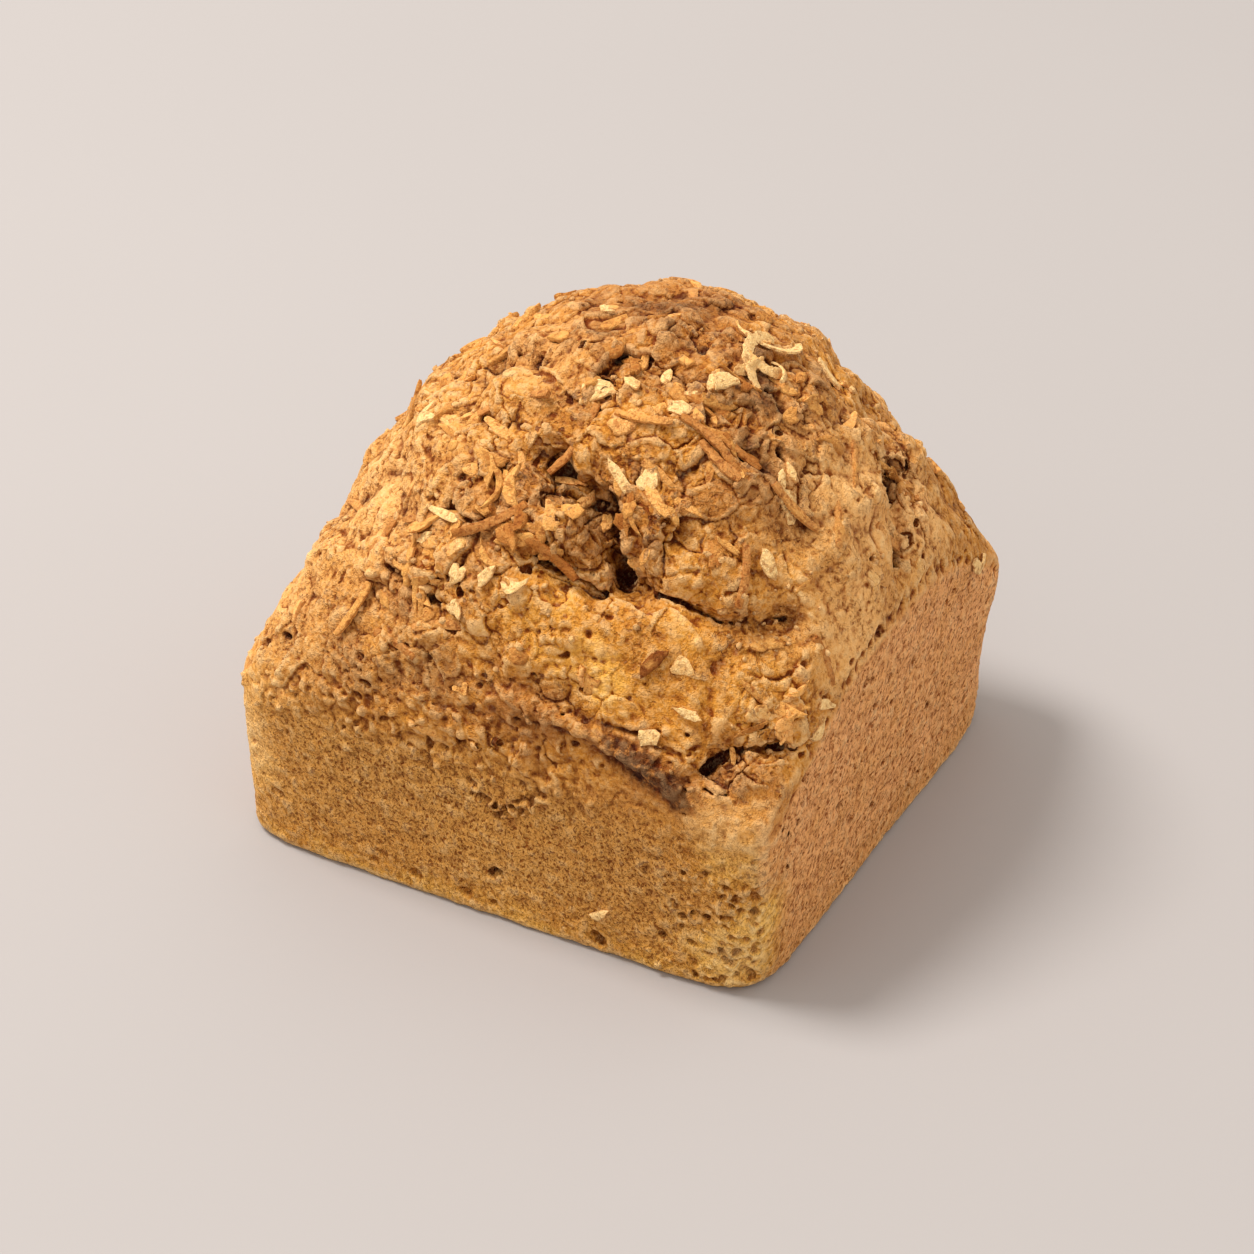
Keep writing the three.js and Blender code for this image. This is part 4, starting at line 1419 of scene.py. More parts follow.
def lobed_outline(size, width, random):
    """Uneven outline of a shrivelled flake, with a few lobes and a bend."""
    turn = np.arange(LOBED_POINTS) * 2 * pi / LOBED_POINTS
    reach = np.ones(LOBED_POINTS)
    for lobes, swing in LOBES:
        height = swing * random.uniform(*LOBE_SPREAD)
        reach += height * np.cos(lobes * turn + random.uniform(0, 2 * pi))
    outline = oval(turn, reach, size, width)
    outline[:, 1] += random.normal(0, LOBED_BEND) / size * outline[:, 0] ** 2
    return outline


def chip_rings(outline, size, thickness, random):
    """Rings of a flat flake from its lower to its upper face, bent and twisted."""
    rings = []
    for share, level, _ in CHIP_RINGS:
        flat = outline * share
        rings.append(np.column_stack([flat, np.full(len(flat), level * thickness)]))
    points = np.array(rings)
    bend = random.normal(0, CHIP_WARP) / size
    twist = random.normal(0, CHIP_WARP) / size
    points[..., 2] += bend * points[..., 0] ** 2 + twist * points[..., 0] * points[..., 1]
    return points


def lay_chip(heap, crust, place, normal, heading, rings, lift, shade, tilt=(0.0, 0.0)):
    """Lay a flat chip on the crust, tilted as the crust under it is and a little more."""
    axes = surface_axes(normal, heading)
    stations, sides = rings.shape[:2]
    edge = rings[CHIP_EDGE_RING][:, :2]
    probes = np.vstack([edge[::2], edge[::2] * CHIP_INNER_TOUCH])
    heights = [crust.height(place + axes[:, :2] @ probe, normal) for probe in probes]
    known = [(*probe, 1.0, height) for probe, height in zip(probes, heights) if height is not None]
    if len(known) < CHIP_TOUCHES:
        return
    known = np.array(known)
    level = np.median(known[:, 3])
    known[:, 3] = np.clip(known[:, 3], level - CHIP_REACH, level + CHIP_REACH)
    slope = np.linalg.lstsq(known[:, :3], known[:, 3], rcond=None)[0]
    local = rings.reshape(-1, 3).copy()
    local[:, 2] += local[:, :2] @ (slope[:2] + tilt) + slope[2] + lift
    ends = np.repeat([edge_share for _, _, edge_share in CHIP_RINGS], sides)
    shades = np.stack([np.full(len(local), shade), ends], axis=1)
    heap.add(place + local @ axes.T, strip_faces(stations, sides), shades)


# How a strip rolls and twists in degrees, and arches and tilts as shares of its length
ROLL_ABOVE = 0.5
TWIST_SPREAD = (10, 25)
MOST_ARCH = 0.06
TILT_SPREAD = 0.04

# Smaller flakes are laid a little larger than listed, and closer to the crust
SMALL_FLAKE_LONGER = 1.15
SMALL_FLAKE_WIDER = 1.3
SMALL_FLAKE_LIFT = 0.3
SMALL_FLAKE_CURL = 25


def lay_flake(heap, crust, form, direction, heading, kind, size, width, curl, shade, random, rise):
    """Lay one flake of a kind where a direction from the core meets the crust."""
    places, normals = form.crust_surface(direction[None, :])
    turn = radians(heading)
    if kind is CHIP:
        outline = random.choice((cornered_outline, lobed_outline))(size, width, random)
        rings = chip_rings(outline, size, kind["thickness"], random)
        lay_chip(heap, crust, places[0], normals[0], turn, rings, rise, shade)
        return
    roll = kind["roll"] if normals[0][2] > ROLL_ABOVE else 0
    twist = random.normal((roll, 0), TWIST_SPREAD)
    ends = random.uniform(*kind["ends"], 2)
    width *= kind["slimming"]
    rings = strip_rings(size, width, kind["thickness"], curl, twist, ends, kind["stations"], random)
    share = rings[0]
    arch = random.uniform(0.0, MOST_ARCH) * size * (1 - (2 * share) ** 2)
    lift = rise + arch + random.normal(0, TILT_SPREAD) * size * share
    lay_strip(heap, crust, places[0], normals[0], turn, rings, lift, shade, kind is THREAD)


class CAKE_OT_lay_flakes(bpy.types.Operator):
    """Lay the long threads, pale chips and curls of coconut on the dome"""

    bl_idname = "cake.lay_flakes"
    bl_label = "Lay Flakes"

    SEED = 97
    SHARP_ANGLE = radians(45)

    def execute(self, context):
        form = CakeForm(context.scene.cake_loaf)
        finish = context.scene.cake_finish
        crust = CrustTouch()
        random = np.random.default_rng(self.SEED)
        heaps = {kind["piece"]: Heap() for kind in (THREAD, CHIP, CURL)}
        plan = flake_plan(form, context.scene.cake_flakes)
        for order, (kind, direction, heading, size, width, curl) in enumerate(plan):
            strewn = order >= len(CHOSEN_FLAKES)
            size *= SHORTENED.get(order, 1.0)
            shade = random.uniform(*kind["shade"]) if strewn else CHOSEN_FLAKES[order][3]
            lay_flake(heaps[kind["piece"]], crust, form, direction, heading, kind, size, width, curl, shade,
                      random, kind["strewn_lift"] if strewn else CHOSEN_LIFT)
        for place, heading, size, width, curl in SMALL_CURLS:
            direction = unit(np.array(place) - CORE)
            lay_flake(heaps[CURL["piece"]], crust, form, direction, heading, CURL, size, width, curl,
                      random.uniform(*CURL["shade"]), random, CHOSEN_LIFT)
        for place, heading, size, width, shade in SMALL_FLAKES:
            direction = unit(np.array(place) - CORE)
            curl = random.normal(0, SMALL_FLAKE_CURL)
            lay_flake(heaps[CHIP["piece"]], crust, form, direction, heading, CHIP, SMALL_FLAKE_LONGER * size,
                      SMALL_FLAKE_WIDER * width, curl, shade, random, SMALL_FLAKE_LIFT)
        for name, heap in heaps.items():
            material = toasted_coconut(finish) if name == THREAD["piece"] else cream_coconut(finish)
            piece = add_piece(name, heap.mesh(name), material)
            piece.data.set_sharp_from_angle(angle=self.SHARP_ANGLE)
        return {"FINISHED"}


class CAKE_OT_bake_in_shards(bpy.types.Operator):
    """Sink toasted shards of coconut into the craggy crust"""

    bl_idname = "cake.bake_in_shards"
    bl_label = "Bake In Shards"

    SEED = 613
    LEAST_WEIGHT = 0.1
    ZONE_WEIGHT = 0.6
    LENGTH_SPREAD = (0.5, 1.7)
    WIDTH_SPREAD = (0.5, 1.4)
    THICKNESS = (0.6, 1.1)
    LIFT = (-0.3, 0.3)
    CORNERS = (4, 7)
    HEADING = (-60, 55)
    LOBED_SHARE = 0.7
    PROUD_SHARE = 0.25
    PROUD_TILT = 0.16
    FLAT_TILT = 0.1
    ZONE_TOAST = 0.35
    TOAST = 0.65
    TOAST_CURVE = (1.2, 1.6)
    SHARP_ANGLE = radians(50)

    def execute(self, context):
        form = CakeForm(context.scene.cake_loaf)
        flakes = context.scene.cake_flakes
        crust = CrustTouch()
        random = np.random.default_rng(self.SEED)
        heap = Heap()
        places, normals = dome_places(form, random, flakes.shards)
        zone_weights = self.LEAST_WEIGHT + self.ZONE_WEIGHT * zone_strength(places, SHARD_ZONES)
        kept = chosen(random, form.brokenness(places) * zone_weights)
        browned = self.ZONE_TOAST * zone_strength(places, BROWN_ZONES)
        for place, normal, toast in zip(places[kept], normals[kept], browned[kept]):
            size = flakes.shard_length / MM * random.uniform(*self.LENGTH_SPREAD)
            width = flakes.shard_width / MM * random.uniform(*self.WIDTH_SPREAD)
            if random.random() < self.LOBED_SHARE:
                outline = lobed_outline(size, width, random)
            else:
                outline = cornered_outline(size, width, random, random.integers(*self.CORNERS))
            rings = chip_rings(outline, size, random.uniform(*self.THICKNESS), random)
            proud = random.random() < self.PROUD_SHARE
            tilt = random.normal(0, self.PROUD_TILT if proud else self.FLAT_TILT, 2)
            heading = radians(random.normal(*self.HEADING))
            lift = random.uniform(*self.LIFT)
            shade = toast + self.TOAST * random.beta(*self.TOAST_CURVE)
            lay_chip(heap, crust, place, normal, heading, rings, lift, shade, tilt)
        mesh = heap.mesh("baked_in_shards")
        piece = add_piece("baked_in_shards", mesh, baked_in_coconut(context.scene.cake_finish))
        piece.data.set_sharp_from_angle(angle=self.SHARP_ANGLE)
        return {"FINISHED"}


class CAKE_OT_scatter_crumbs(bpy.types.Operator):
    """Scatter loose crumbs over the crags and into the crevices"""

    bl_idname = "cake.scatter_crumbs"
    bl_label = "Scatter Crumbs"

    SEED = 271
    LEAST_WEIGHT = 0.15
    SIZE_SPREAD = (0.5, 1.6)
    LUMPINESS = (0.75, 1.25)
    FLATNESS = (0.7, 1.2)
    LIFT = 0.2

    def execute(self, context):
        form = CakeForm(context.scene.cake_loaf)
        flakes = context.scene.cake_flakes
        crust = CrustTouch()
        random = np.random.default_rng(self.SEED)
        shape = bmesh.new()
        bmesh.ops.create_icosphere(shape, subdivisions=1, radius=0.5)
        ball = np.array([vertex.co[:] for vertex in shape.verts])
        faces = [tuple(vertex.index for vertex in face.verts) for face in shape.faces]
        shape.free()
        heap = Heap()
        places, normals = dome_places(form, random, flakes.crumbs)
        near = self.LEAST_WEIGHT + (1 - self.LEAST_WEIGHT) * near_crevices(places)
        kept = chosen(random, form.cragginess(places) * near)
        turns = random_turns(random, flakes.crumbs)
        for place, normal, turn in zip(places[kept], normals[kept], turns[kept]):
            height = crust.height(place, normal)
            if height is None:
                continue
            low, high = self.SIZE_SPREAD
            size = flakes.crumb_size / MM * (low + (high - low) * random.random() ** 2)
            lumpy = ball * random.uniform(*self.LUMPINESS, (len(ball), 1))
            lumpy = lumpy * random.uniform(*self.FLATNESS, 3)
            points = lumpy @ turn.T * size + place + normal * (height + self.LIFT * size)
            heap.add(points, faces, np.zeros((len(points), 1)))
        mesh = heap.mesh("loose_crumbs")
        paint_zones(mesh, form)
        add_piece("loose_crumbs", mesh, crust_material(context.scene.cake_finish))
        return {"FINISHED"}


# Spans that the materials remap: from, to, and the results where they aren't 0 and 1
NOISE_SPAN = (0.3, 0.7)
GROOVE_SPAN = (0.015, 0.075, 1.0, 0.0)
GROOVE_BREAKS = (0.4, 0.6)
PIT_SPAN = (0.43, 0.37)
CRACK_SPAN = (0.02, 0.1, 1.0, 0.0)
CRACK_BREAKS = (0.42, 0.56)
TOAST_STOPS = (0.0, 0.35, 0.72, 1.0)
CHARRED_SPAN = (0.15, 0.65, 0.5, 1.2)
DRY_SPAN = (0.9, 0.2)
SUNK_SPAN = (0.52, 0.78, 0.0, 0.95)
SUNK_ON_WALL = (0.0, 1.0, 1.0, 0.6)
CREVICE_SPAN = (0.53, 0.8, 0.0, 0.95)
LOW_SPAN = (0.5, -0.1)
LOW_ON_YELLOW = (0.0, 1.0, 1.0, 0.5)
RAISED_SPAN = (0.5, 0.85)
PAINTED_PALE_GLOW_SPAN = (0.9, 1.5)
PROUD_SPAN = (0.47, 0.15)
PAINTED_LIGHT_ON_BAKED = (0.4, 0.85, 1.0, 0.25)
CRUST_ROUGHNESS = (0.0, 1.0, 0.55, 0.85)
COCONUT_ROUGHNESS = (0.0, 1.0, 0.5, 0.75)

# Scales of the blotches, grain and pores per metre, and the finer scales as shares of them
DOME_SCALES = (110.0, 1900.0, 1300.0)
WALL_SCALES = (130.0, 2600.0, 2200.0)
COCONUT_SCALES = (420.0, 2400.0, 1500.0)
SPECK_SHARE = 0.4
GROOVE_BREAK_SHARE = 0.8
PIT_SHARE = 0.75
STRAY_SHARE = 1.6
CRACK_BREAK_SHARE = 0.7
PLATE_SCALE = 330.0
PLATE_RAGGEDNESS = 0.0018

# How the streaks of the walls lean, and how they are drawn out
STREAK_LEAN = radians(-42)
STREAK_SCALE = (1.0, 0.6, 1.0)

# How much each mark makes the dome porous, toasts the crust, lifts it and lightens it with a painted
# highlight
POROUS_START = 0.15
POROUS = {"blotch": 0.6}
WALL_POROSITY = 0.8
TOAST_START = 0.28
TOAST = {"blotch": 0.3, "speck": 0.12, "plate": 0.3, "brown": 0.4, "yellow": -0.35, "charred": 0.62}
RELIEF_START = 0.28
RELIEF = {"speck": 0.14, "grain": 0.42, "pits": -0.6, "grooves": -0.5, "crack": -0.25, "plate": 0.4}
PAINTED_LIGHT = {"raised": 0.24, "pale": 0.2, "proud": 0.36}
DRY_BLOTCH = 0.6
WALL_BLOTCH = 0.4
WALL_BROWN = 0.7
CRUST_BUMP = {"Strength": 1.0, "Distance": 0.0005}

# The same for coconut
EDGE_TOAST = 0.15
COCONUT_BLOTCH = 0.35
COCONUT_MARKS = {"pits": 0.5, "grooves": 0.3}
COCONUT_RELIEF = {"speck": 0.8, "grain": 0.5, "grooves": -0.5}
COCONUT_TINT = 0.9
COCONUT_BUMP = {"Strength": 0.8, "Distance": 0.0003}

# Tints of the painted shade in the hollows and low relief, the painted highlight on the raised crumb, and
# the pores, painted edge highlight and grain of coconut
SUNK_PAINTED_SHADE = linear(164, 112, 42)
CREVICE_PAINTED_SHADE = linear(112, 75, 30)
LOW_PAINTED_SHADE = linear(160, 112, 42)
PAINTED_HIGHLIGHT_CREAM = linear(255, 222, 164)
COCONUT_PORE_TINT = linear(170, 120, 74)
COCONUT_EDGE_HIGHLIGHT_TINT = linear(160, 116, 62)
COCONUT_GRAIN_TINT = linear(232, 208, 176)
WHITE = (1.0, 1.0, 1.0)

NUMBER = "NodeSocketFloat"
VECTOR = "NodeSocketVector"
COLOUR = "NodeSocketColor"


def node(tree, kind, inputs=None, **settings):
    """A shader node with its settings, and its sockets set or linked."""
    made = tree.nodes.new("ShaderNode" + kind)
    for name, value in settings.items():
        setattr(made, name, value)
    for socket, value in (inputs or {}).items():
        if isinstance(value, bpy.types.NodeSocket):
            tree.links.new(value, made.inputs[socket])
        else:
            made.inputs[socket].default_value = value
    return made


def mix(tree, factor, first, second, mode="MIX"):
    """Blend two colours by a factor."""
    ends = [end if isinstance(end, bpy.types.NodeSocket) else (*end, 1) for end in (first, second)]
    inputs = {0: factor, 6: ends[0], 7: ends[1]}
    return node(tree, "Mix", inputs, data_type="RGBA", blend_type=mode).outputs[2]


def tinted(tree, factor, shade, tint, mode="MULTIPLY"):
    """Blend a colour by a factor with itself multiplied by a tint, or screened with it."""
    return mix(tree, factor, shade, mix(tree, 1.0, shade, tint, mode))


def blend(tree, factor, first, second):
    """Blend two numbers by a factor."""
    return node(tree, "Mix", {0: factor, 2: first, 3: second}, data_type="FLOAT").outputs[0]


def maths(tree, operation, first, second=0.0, clamp=False):
    made = node(tree, "Math", {0: first, 1: second}, operation=operation, use_clamp=clamp)
    return made.outputs[0]


def product(tree, first, second):
    return maths(tree, "MULTIPLY", first, second)


def vector_maths(tree, operation, first, second):
    return node(tree, "VectorMath", {0: first, 1: second}, operation=operation).outputs[0]


def weighted_sum(tree, start, weights, values):
    """A number plus each named value times its weight."""
    total = start
    for name, weight in weights.items():
        inputs = {0: values[name], 1: weight, 2: total}
        total = node(tree, "Math", inputs, operation="MULTIPLY_ADD").outputs[0]
    return total


def remap(tree, value, low, high, to_low=0.0, to_high=1.0):
    made = node(tree, "MapRange", {0: value, 1: low, 2: high, 3: to_low, 4: to_high})
    return made.outputs[0]


def noise_texture(tree, place, scale, detail, **more):
    return node(tree, "TexNoise", {"Vector": place, "Scale": scale, "Detail": detail, **more})


def new_group(name, inputs, outputs):
    """A node group with named sockets, and its ends."""
    tree = bpy.data.node_groups.new(name, "ShaderNodeTree")
    for side, sockets in (("INPUT", inputs), ("OUTPUT", outputs)):
        for label, kind in sockets.items():
            tree.interface.new_socket(label, in_out=side, socket_type=kind)
    return tree, tree.nodes.new("NodeGroupInput"), tree.nodes.new("NodeGroupOutput")


def placed_group(tree, name, build, inputs):
    """Outputs of a node group that is built once and placed with its own values."""
    group = bpy.data.node_groups.get(name) or build(name)
    return node(tree, "Group", inputs, node_tree=group).outputs


def mottle_group(name):
    """Blotches, specks and grain of baked crumb."""
    tree, start, end = new_group(
        name,
        {"Vector": VECTOR, "Blotch Scale": NUMBER, "Grain Scale": NUMBER},
        {"Blotch": NUMBER, "Speck": NUMBER, "Grain": NUMBER},
    )
    place, blotch_scale, grain_scale = start.outputs[:3]
    speck_scale = product(tree, grain_scale, SPECK_SHARE)
    layers = {
        "Blotch": noise_texture(tree, place, blotch_scale, 4.0, Roughness=0.6),
        "Speck": noise_texture(tree, place, speck_scale, 3.0, Roughness=0.65),
        "Grain": noise_texture(tree, place, grain_scale, 2.0, Roughness=0.7),
    }
    for label, layer in layers.items():
        tree.links.new(remap(tree, layer.outputs[0], *NOISE_SPAN), end.inputs[label])
    return tree


def pores_group(name):
    """Small uneven pores and short worm-like grooves of baked crumb."""
    tree, start, end = new_group(
        name, {"Vector": VECTOR, "Scale": NUMBER}, {"Pits": NUMBER, "Grooves": NUMBER}
    )
    place, scale = start.outputs[:2]
    winding = noise_texture(tree, place, scale, 1.0, Roughness=0.5, Distortion=0.6)
    off_middle = maths(tree, "ABSOLUTE", maths(tree, "SUBTRACT", winding.outputs[0], 0.5))
    breaks = noise_texture(tree, place, product(tree, scale, GROOVE_BREAK_SHARE), 1.0)
    grooves = product(tree, remap(tree, off_middle, *GROOVE_SPAN),
                      remap(tree, breaks.outputs[0], *GROOVE_BREAKS))
    holes = noise_texture(tree, place, product(tree, scale, PIT_SHARE), 1.5, Roughness=0.5, Distortion=0.3)
    tree.links.new(remap(tree, holes.outputs[0], *PIT_SPAN), end.inputs["Pits"])
    tree.links.new(grooves, end.inputs["Grooves"])
    return tree


def plates_group(name):
    """Ragged plates of crust: a tone for each one, and the cracks between them."""
    tree, start, end = new_group(
        name,
        {"Vector": VECTOR, "Scale": NUMBER, "Raggedness": NUMBER},
        {"Tone": NUMBER, "Crack": NUMBER},
    )
    place, scale, raggedness = start.outputs[:3]
    stray = noise_texture(tree, place, product(tree, scale, STRAY_SHARE), 2.0).outputs["Color"]
    stray = vector_maths(tree, "SUBTRACT", stray, (0.5, 0.5, 0.5))
    stray = node(tree, "VectorMath", {0: stray, "Scale": raggedness}, operation="SCALE").outputs[0]
    seeds = {"Vector": vector_maths(tree, "ADD", place, stray), "Scale": scale}
    plate = node(tree, "TexVoronoi", seeds, feature="F1")
    tone = node(tree, "SeparateColor", {0: plate.outputs["Color"]}).outputs[0]
    edge = node(tree, "TexVoronoi", seeds, feature="DISTANCE_TO_EDGE")
    breaks = noise_texture(tree, place, product(tree, scale, CRACK_BREAK_SHARE), 1.0)
    crack = product(tree, remap(tree, edge.outputs["Distance"], *CRACK_SPAN),
                    remap(tree, breaks.outputs[0], *CRACK_BREAKS))
    tree.links.new(tone, end.inputs["Tone"])
    tree.links.new(crack, end.inputs["Crack"])
    return tree


def toasting_group(name):
    """Four colours in turn as something bakes."""
    tree, start, end = new_group(
        name,
        {"Amount": NUMBER, "Pale": COLOUR, "Golden": COLOUR, "Brown": COLOUR, "Burnt": COLOUR},
        {"Color": COLOUR},
    )
    amount, shade, *browner = start.outputs[:5]
    for low, high, next_shade in zip(TOAST_STOPS, TOAST_STOPS[1:], browner):
        shade = mix(tree, remap(tree, amount, low, high), shade, next_shade)
    tree.links.new(shade, end.inputs["Color"])
    return tree


def toasting(tree, amount, pale, golden, brown, burnt):
    """The colour of something that has baked by an amount."""
    inputs = {"Amount": amount, "Pale": (*pale, 1), "Golden": (*golden, 1), "Brown": (*brown, 1),
              "Burnt": (*burnt, 1)}
    return placed_group(tree, "Toasting", toasting_group, inputs)[0]


def attribute_channels(tree, name):
    """The four numbers stored at each vertex under a name."""
    stored = node(tree, "Attribute", attribute_name=name)
    parts = node(tree, "SeparateColor", {0: stored.outputs["Color"]})
    return (*parts.outputs[:3], stored.outputs["Alpha"])


def fresh_material(name):
    """A material with its output, its principled shader and its place on the cake."""
    material = bpy.data.materials.new(name)
    material.use_nodes = True
    tree = material.node_tree
    tree.nodes.clear()
    shader = node(tree, "BsdfPrincipled", {"Specular IOR Level": 0.1})
    node(tree, "OutputMaterial", {"Surface": shader.outputs[0]})
    place = node(tree, "TexCoord").outputs["Object"]
    return material, tree, shader, place


def crumb_marks(tree, place, blotch_scale, grain_scale, pore_scale):
    """Marks of crumb at a place, by name."""
    scales = {"Vector": place, "Blotch Scale": blotch_scale, "Grain Scale": grain_scale}
    mottle = placed_group(tree, "Crumb Mottle", mottle_group, scales)
    pores = placed_group(tree, "Crumb Pores", pores_group, {"Vector": place, "Scale": pore_scale})
    return {mark.name.lower(): mark for mark in (*mottle, *pores)}


def finish_surface(tree, shader, shade, roughness, relief, bump):
    """Link a colour, a roughness and a bump from a relief to a shader."""
    tree.links.new(shade, shader.inputs["Base Color"])
    tree.links.new(roughness, shader.inputs["Roughness"])
    bumped = node(tree, "Bump", {"Height": relief, **bump})
    tree.links.new(bumped.outputs[0], shader.inputs["Normal"])


def crust_material(finish):
    """Golden, porous crust that follows the painted zones."""
    if "baked crust" in bpy.data.materials:
        return bpy.data.materials["baked crust"]
    material, tree, shader, place = fresh_material("baked crust")
    yellow, brown, burnt, grey = attribute_channels(tree, "bake")
    on_wall, on_side, fine_hollow, broad_hollow = attribute_channels(tree, "place")
    tan, broken, _, _ = attribute_channels(tree, "dryness")

    leaning = node(tree, "VectorRotate", {"Vector": place, "Angle": STREAK_LEAN},
                   rotation_type="X_AXIS").outputs[0]
    dome_marks = crumb_marks(tree, place, *DOME_SCALES)
    wall_marks = crumb_marks(tree, vector_maths(tree, "MULTIPLY", leaning, STREAK_SCALE), *WALL_SCALES)
    marks = {name: blend(tree, on_wall, dome_marks[name], wall_marks[name]) for name in dome_marks}
    blotch = marks["blotch"]
    speck = marks["speck"]
    porous = blend(tree, on_wall, weighted_sum(tree, POROUS_START, POROUS, marks), WALL_POROSITY)
    for name in ("pits", "grooves"):
        marks[name] = product(tree, marks[name], porous)
    ragged = {"Vector": place, "Scale": PLATE_SCALE, "Raggedness": PLATE_RAGGEDNESS}
    plate = placed_group(tree, "Crust Plates", plates_group, ragged)
    marks["plate"] = product(tree, maths(tree, "SUBTRACT", plate["Tone"], 0.5), broken)
    marks["crack"] = product(tree, plate["Crack"], broken)
    marks["charred"] = product(tree, burnt, remap(tree, speck, *CHARRED_SPAN))
    marks["brown"] = brown
    marks["yellow"] = yellow

    amount = weighted_sum(tree, TOAST_START, TOAST, marks)
    baked = toasting(tree, amount, finish.pale_crumb, finish.golden, finish.brown, finish.burnt)
    dry = product(tree, tan, remap(tree, product(tree, blotch, DRY_BLOTCH), *DRY_SPAN))
    baked = mix(tree, dry, baked, finish.tan)
    wall = mix(tree, on_side, finish.front_wall, finish.side_wall)
    wall = mix(tree, product(tree, blotch, WALL_BLOTCH), wall, finish.golden)
    wall = mix(tree, product(tree, brown, WALL_BROWN), wall, finish.brown)
    coloured = maths(tree, "MAXIMUM", yellow, burnt)
    bare_wall = product(tree, on_wall, maths(tree, "SUBTRACT", 1.0, coloured, clamp=True))
    shade = mix(tree, bare_wall, baked, wall)
    shade = mix(tree, product(tree, grey, speck), shade, finish.grey_crust)

    # Painted shade: the crust is darkened in its fine hollows (less on the walls) and in its broad crevices,
    # where shade falls
    sunk = product(tree, remap(tree, fine_hollow, *SUNK_SPAN), remap(tree, on_wall, *SUNK_ON_WALL))
    shade = tinted(tree, sunk, shade, SUNK_PAINTED_SHADE)
    shade = tinted(tree, remap(tree, broad_hollow, *CREVICE_SPAN), shade, CREVICE_PAINTED_SHADE)
    relief = weighted_sum(tree, RELIEF_START, RELIEF, marks)
    # Where the bump relief is low (pits, grooves, cracks) the colour darkens: partly the darker crumb of the
    # pores, partly painted shade, since the bump casts none; less on yellow crumb
    low = product(tree, remap(tree, relief, *LOW_SPAN), remap(tree, yellow, *LOW_ON_YELLOW))
    shade = tinted(tree, low, shade, LOW_PAINTED_SHADE)
    # Painted highlight: raised relief, convex edges and the palest yellow zones are blended towards cream,
    # more on the paler crust
    lights = {
        "raised": remap(tree, relief, *RAISED_SPAN), "pale": remap(tree, yellow, *PAINTED_PALE_GLOW_SPAN),
        "proud": remap(tree, fine_hollow, *PROUD_SPAN),
    }
    light = product(tree, weighted_sum(tree, 0.0, PAINTED_LIGHT, lights), remap(tree, amount, *PAINTED_LIGHT_ON_BAKED))
    shade = mix(tree, light, shade, PAINTED_HIGHLIGHT_CREAM)
    finish_surface(tree, shader, shade, remap(tree, speck, *CRUST_ROUGHNESS), relief, CRUST_BUMP)
    return material


def coconut_material(name, pale, golden, brown, dark, edge_toast=EDGE_TOAST, edge_light=0.0):
    """Fibrous coconut that toasts through four colours, with toasted edges and, where asked, a painted
    highlight along the edges.
    """
    if name in bpy.data.materials:
        return bpy.data.materials[name]
    material, tree, shader, place = fresh_material(name)
    toast, ends, _, _ = attribute_channels(tree, "flake")
    marks = crumb_marks(tree, place, *COCONUT_SCALES)
    blotch = maths(tree, "SUBTRACT", marks["blotch"], 0.5)
    edge = maths(tree, "POWER", ends, 3.0)
    weights = {"blotch": COCONUT_BLOTCH, "edge": edge_toast}
    amount = weighted_sum(tree, toast, weights, {"blotch": blotch, "edge": edge})
    shade = toasting(tree, amount, pale, golden, brown, dark)
    shade = tinted(tree, weighted_sum(tree, 0.0, COCONUT_MARKS, marks), shade, COCONUT_PORE_TINT)
    # Painted highlight: the flake's edges are screened lighter, as if lit
    lit_edge = product(tree, maths(tree, "POWER", ends, 2.0), edge_light)
    shade = tinted(tree, lit_edge, shade, COCONUT_EDGE_HIGHLIGHT_TINT, "SCREEN")
    shade = mix(tree, COCONUT_TINT, shade, mix(tree, marks["grain"], COCONUT_GRAIN_TINT, WHITE), "MULTIPLY")
    relief = weighted_sum(tree, 0.0, COCONUT_RELIEF, marks)
    roughness = remap(tree, marks["speck"], *COCONUT_ROUGHNESS)
    finish_surface(tree, shader, shade, roughness, relief, COCONUT_BUMP)
    return material


def cream_coconut(finish):
    return coconut_material("cream coconut", finish.cream, finish.cream, finish.toasted, finish.dark_coconut)


def toasted_coconut(finish):
    return coconut_material("toasted coconut", finish.toasted, finish.stick, finish.brown,
                            finish.dark_coconut)


def baked_in_coconut(finish):
    return coconut_material("baked-in coconut", finish.tan, finish.toasted, finish.brown,
                            finish.dark_coconut, edge_toast=0.0, edge_light=0.3)


def floor_material(stage):
    """Plain pale matt floor."""
    material, tree, shader, place = fresh_material("floor")
    wash = node(tree, "TexNoise", {"Vector": place, "Scale": 6.0, "Detail": 2.0})
    darker = tuple(0.96 * value for value in stage.floor)
    tree.links.new(mix(tree, wash.outputs[0], darker, stage.floor), shader.inputs["Base Color"])
    shader.inputs["Roughness"].default_value = 0.7
    return material


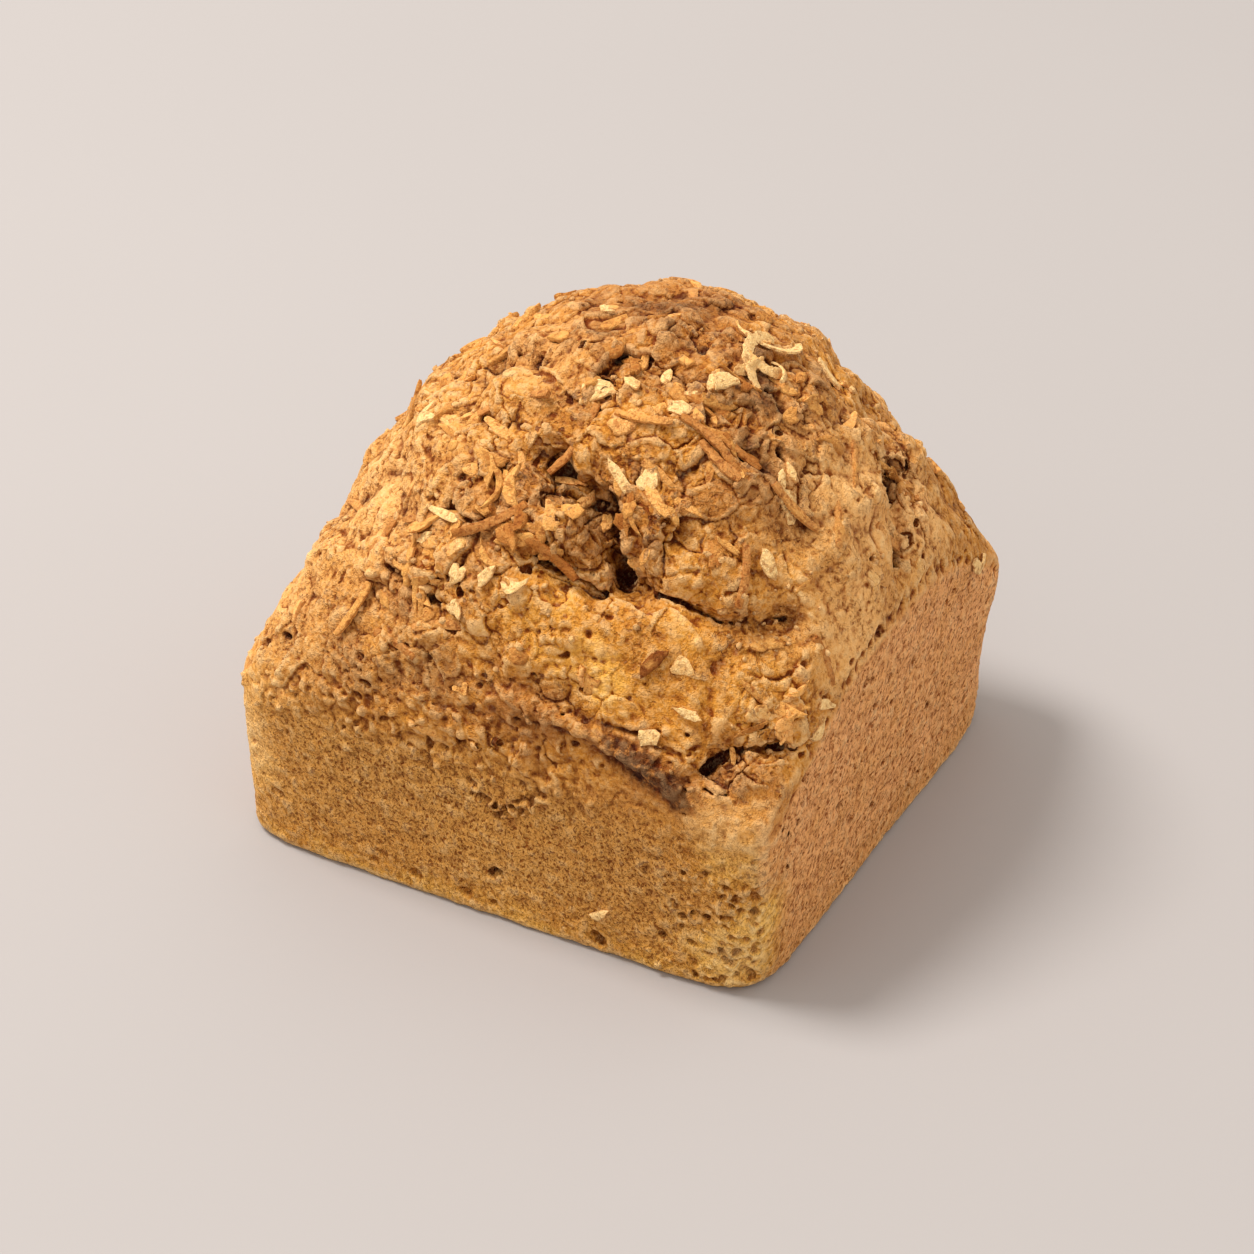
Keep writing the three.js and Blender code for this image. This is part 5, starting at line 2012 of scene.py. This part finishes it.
class CAKE_OT_set_stage(bpy.types.Operator):
    """Set the floor, the soft light and the camera"""

    bl_idname = "cake.set_stage"
    bl_label = "Set Stage"

    FLOOR_HALF = 3.0
    FLOOR_STEPS = 12
    KEY_DISTANCE = 1.6
    KEY_SIZE = 0.6
    KEY_LEFT = 0.52
    KEY_AWAY = 0.14

    def execute(self, context):
        stage = context.scene.cake_stage
        self.lay_floor(stage)
        self.hang_lights(context, stage)
        self.place_camera(context, stage)
        context.scene.view_settings.view_transform = "Standard"
        return {"FINISHED"}

    def lay_floor(self, stage):
        shape = bmesh.new()
        bmesh.ops.create_grid(shape, x_segments=self.FLOOR_STEPS, y_segments=self.FLOOR_STEPS,
                              size=self.FLOOR_HALF)
        mesh = bpy.data.meshes.new("floor")
        shape.to_mesh(mesh)
        shape.free()
        mesh.materials.append(floor_material(stage))
        floor = new_object("floor", mesh)

    def hang_lights(self, context, stage):
        turn = stage.azimuth
        left = Vector((-cos(turn), -sin(turn), 0))
        away = Vector((-sin(turn), cos(turn), 0))
        towards = (left * self.KEY_LEFT + away * self.KEY_AWAY + Vector(UP)).normalized()
        lamp = bpy.data.lights.new("key", "AREA")
        lamp.energy = stage.key_power
        lamp.shape = "DISK"
        lamp.size = self.KEY_SIZE
        key = new_object("key", lamp)
        key.location = Vector(stage.aim) + towards * self.KEY_DISTANCE
        key.rotation_euler = towards.to_track_quat("Z", "Y").to_euler()
        world = bpy.data.worlds.new("sky")
        context.scene.world = world
        world.use_nodes = True
        background = world.node_tree.nodes["Background"]
        background.inputs["Color"].default_value = (*stage.sky, 1)
        background.inputs["Strength"].default_value = stage.sky_strength

    def place_camera(self, context, stage):
        turn = stage.azimuth
        rise = stage.elevation
        back = Vector((sin(turn) * cos(rise), -cos(turn) * cos(rise), sin(rise)))
        right = Vector((cos(turn), sin(turn), 0))
        above = back.cross(right)
        view = bpy.data.cameras.new("camera")
        view.lens = stage.lens
        view.sensor_width = 36.0
        view.clip_end = 20.0
        camera = new_object("camera", view)
        basis = Matrix((right, above, back)).transposed().to_4x4()
        basis.translation = Vector(stage.aim) + back * stage.distance
        camera.matrix_world = basis
        context.scene.camera = camera


class CAKE_PT_panel(bpy.types.Panel):
    """Steps of the cake, in order"""

    bl_idname = "CAKE_PT_panel"
    bl_label = "Coconut Cake"
    bl_space_type = "VIEW_3D"
    bl_region_type = "UI"
    bl_category = "Cake"

    def draw(self, context):
        for operator in OPERATORS:
            self.layout.operator(operator.bl_idname)
        for name in SETTINGS:
            box = self.layout.box()
            settings = getattr(context.scene, name)
            for key in settings.bl_rna.properties.keys():
                if key not in ("rna_type", "name"):
                    box.prop(settings, key)


OPERATORS = (CAKE_OT_bake_loaf, CAKE_OT_lay_flakes, CAKE_OT_bake_in_shards, CAKE_OT_scatter_crumbs,
             CAKE_OT_set_stage)
SETTINGS = {"cake_loaf": LoafSettings, "cake_flakes": FlakeSettings, "cake_finish": FinishSettings,
            "cake_stage": StageSettings}
CLASSES = (*SETTINGS.values(), *OPERATORS, CAKE_PT_panel)


def register():
    for made in CLASSES:
        bpy.utils.register_class(made)
    for name, group in SETTINGS.items():
        setattr(bpy.types.Scene, name, bpy.props.PointerProperty(type=group))


def unregister():
    for name in SETTINGS:
        delattr(bpy.types.Scene, name)
    for made in reversed(CLASSES):
        bpy.utils.unregister_class(made)


def main():
    register()
    bpy.ops.cake.bake_loaf()
    bpy.ops.cake.lay_flakes()
    bpy.ops.cake.bake_in_shards()
    bpy.ops.cake.scatter_crumbs()
    bpy.ops.cake.set_stage()


if __name__ == "__main__":
    main()
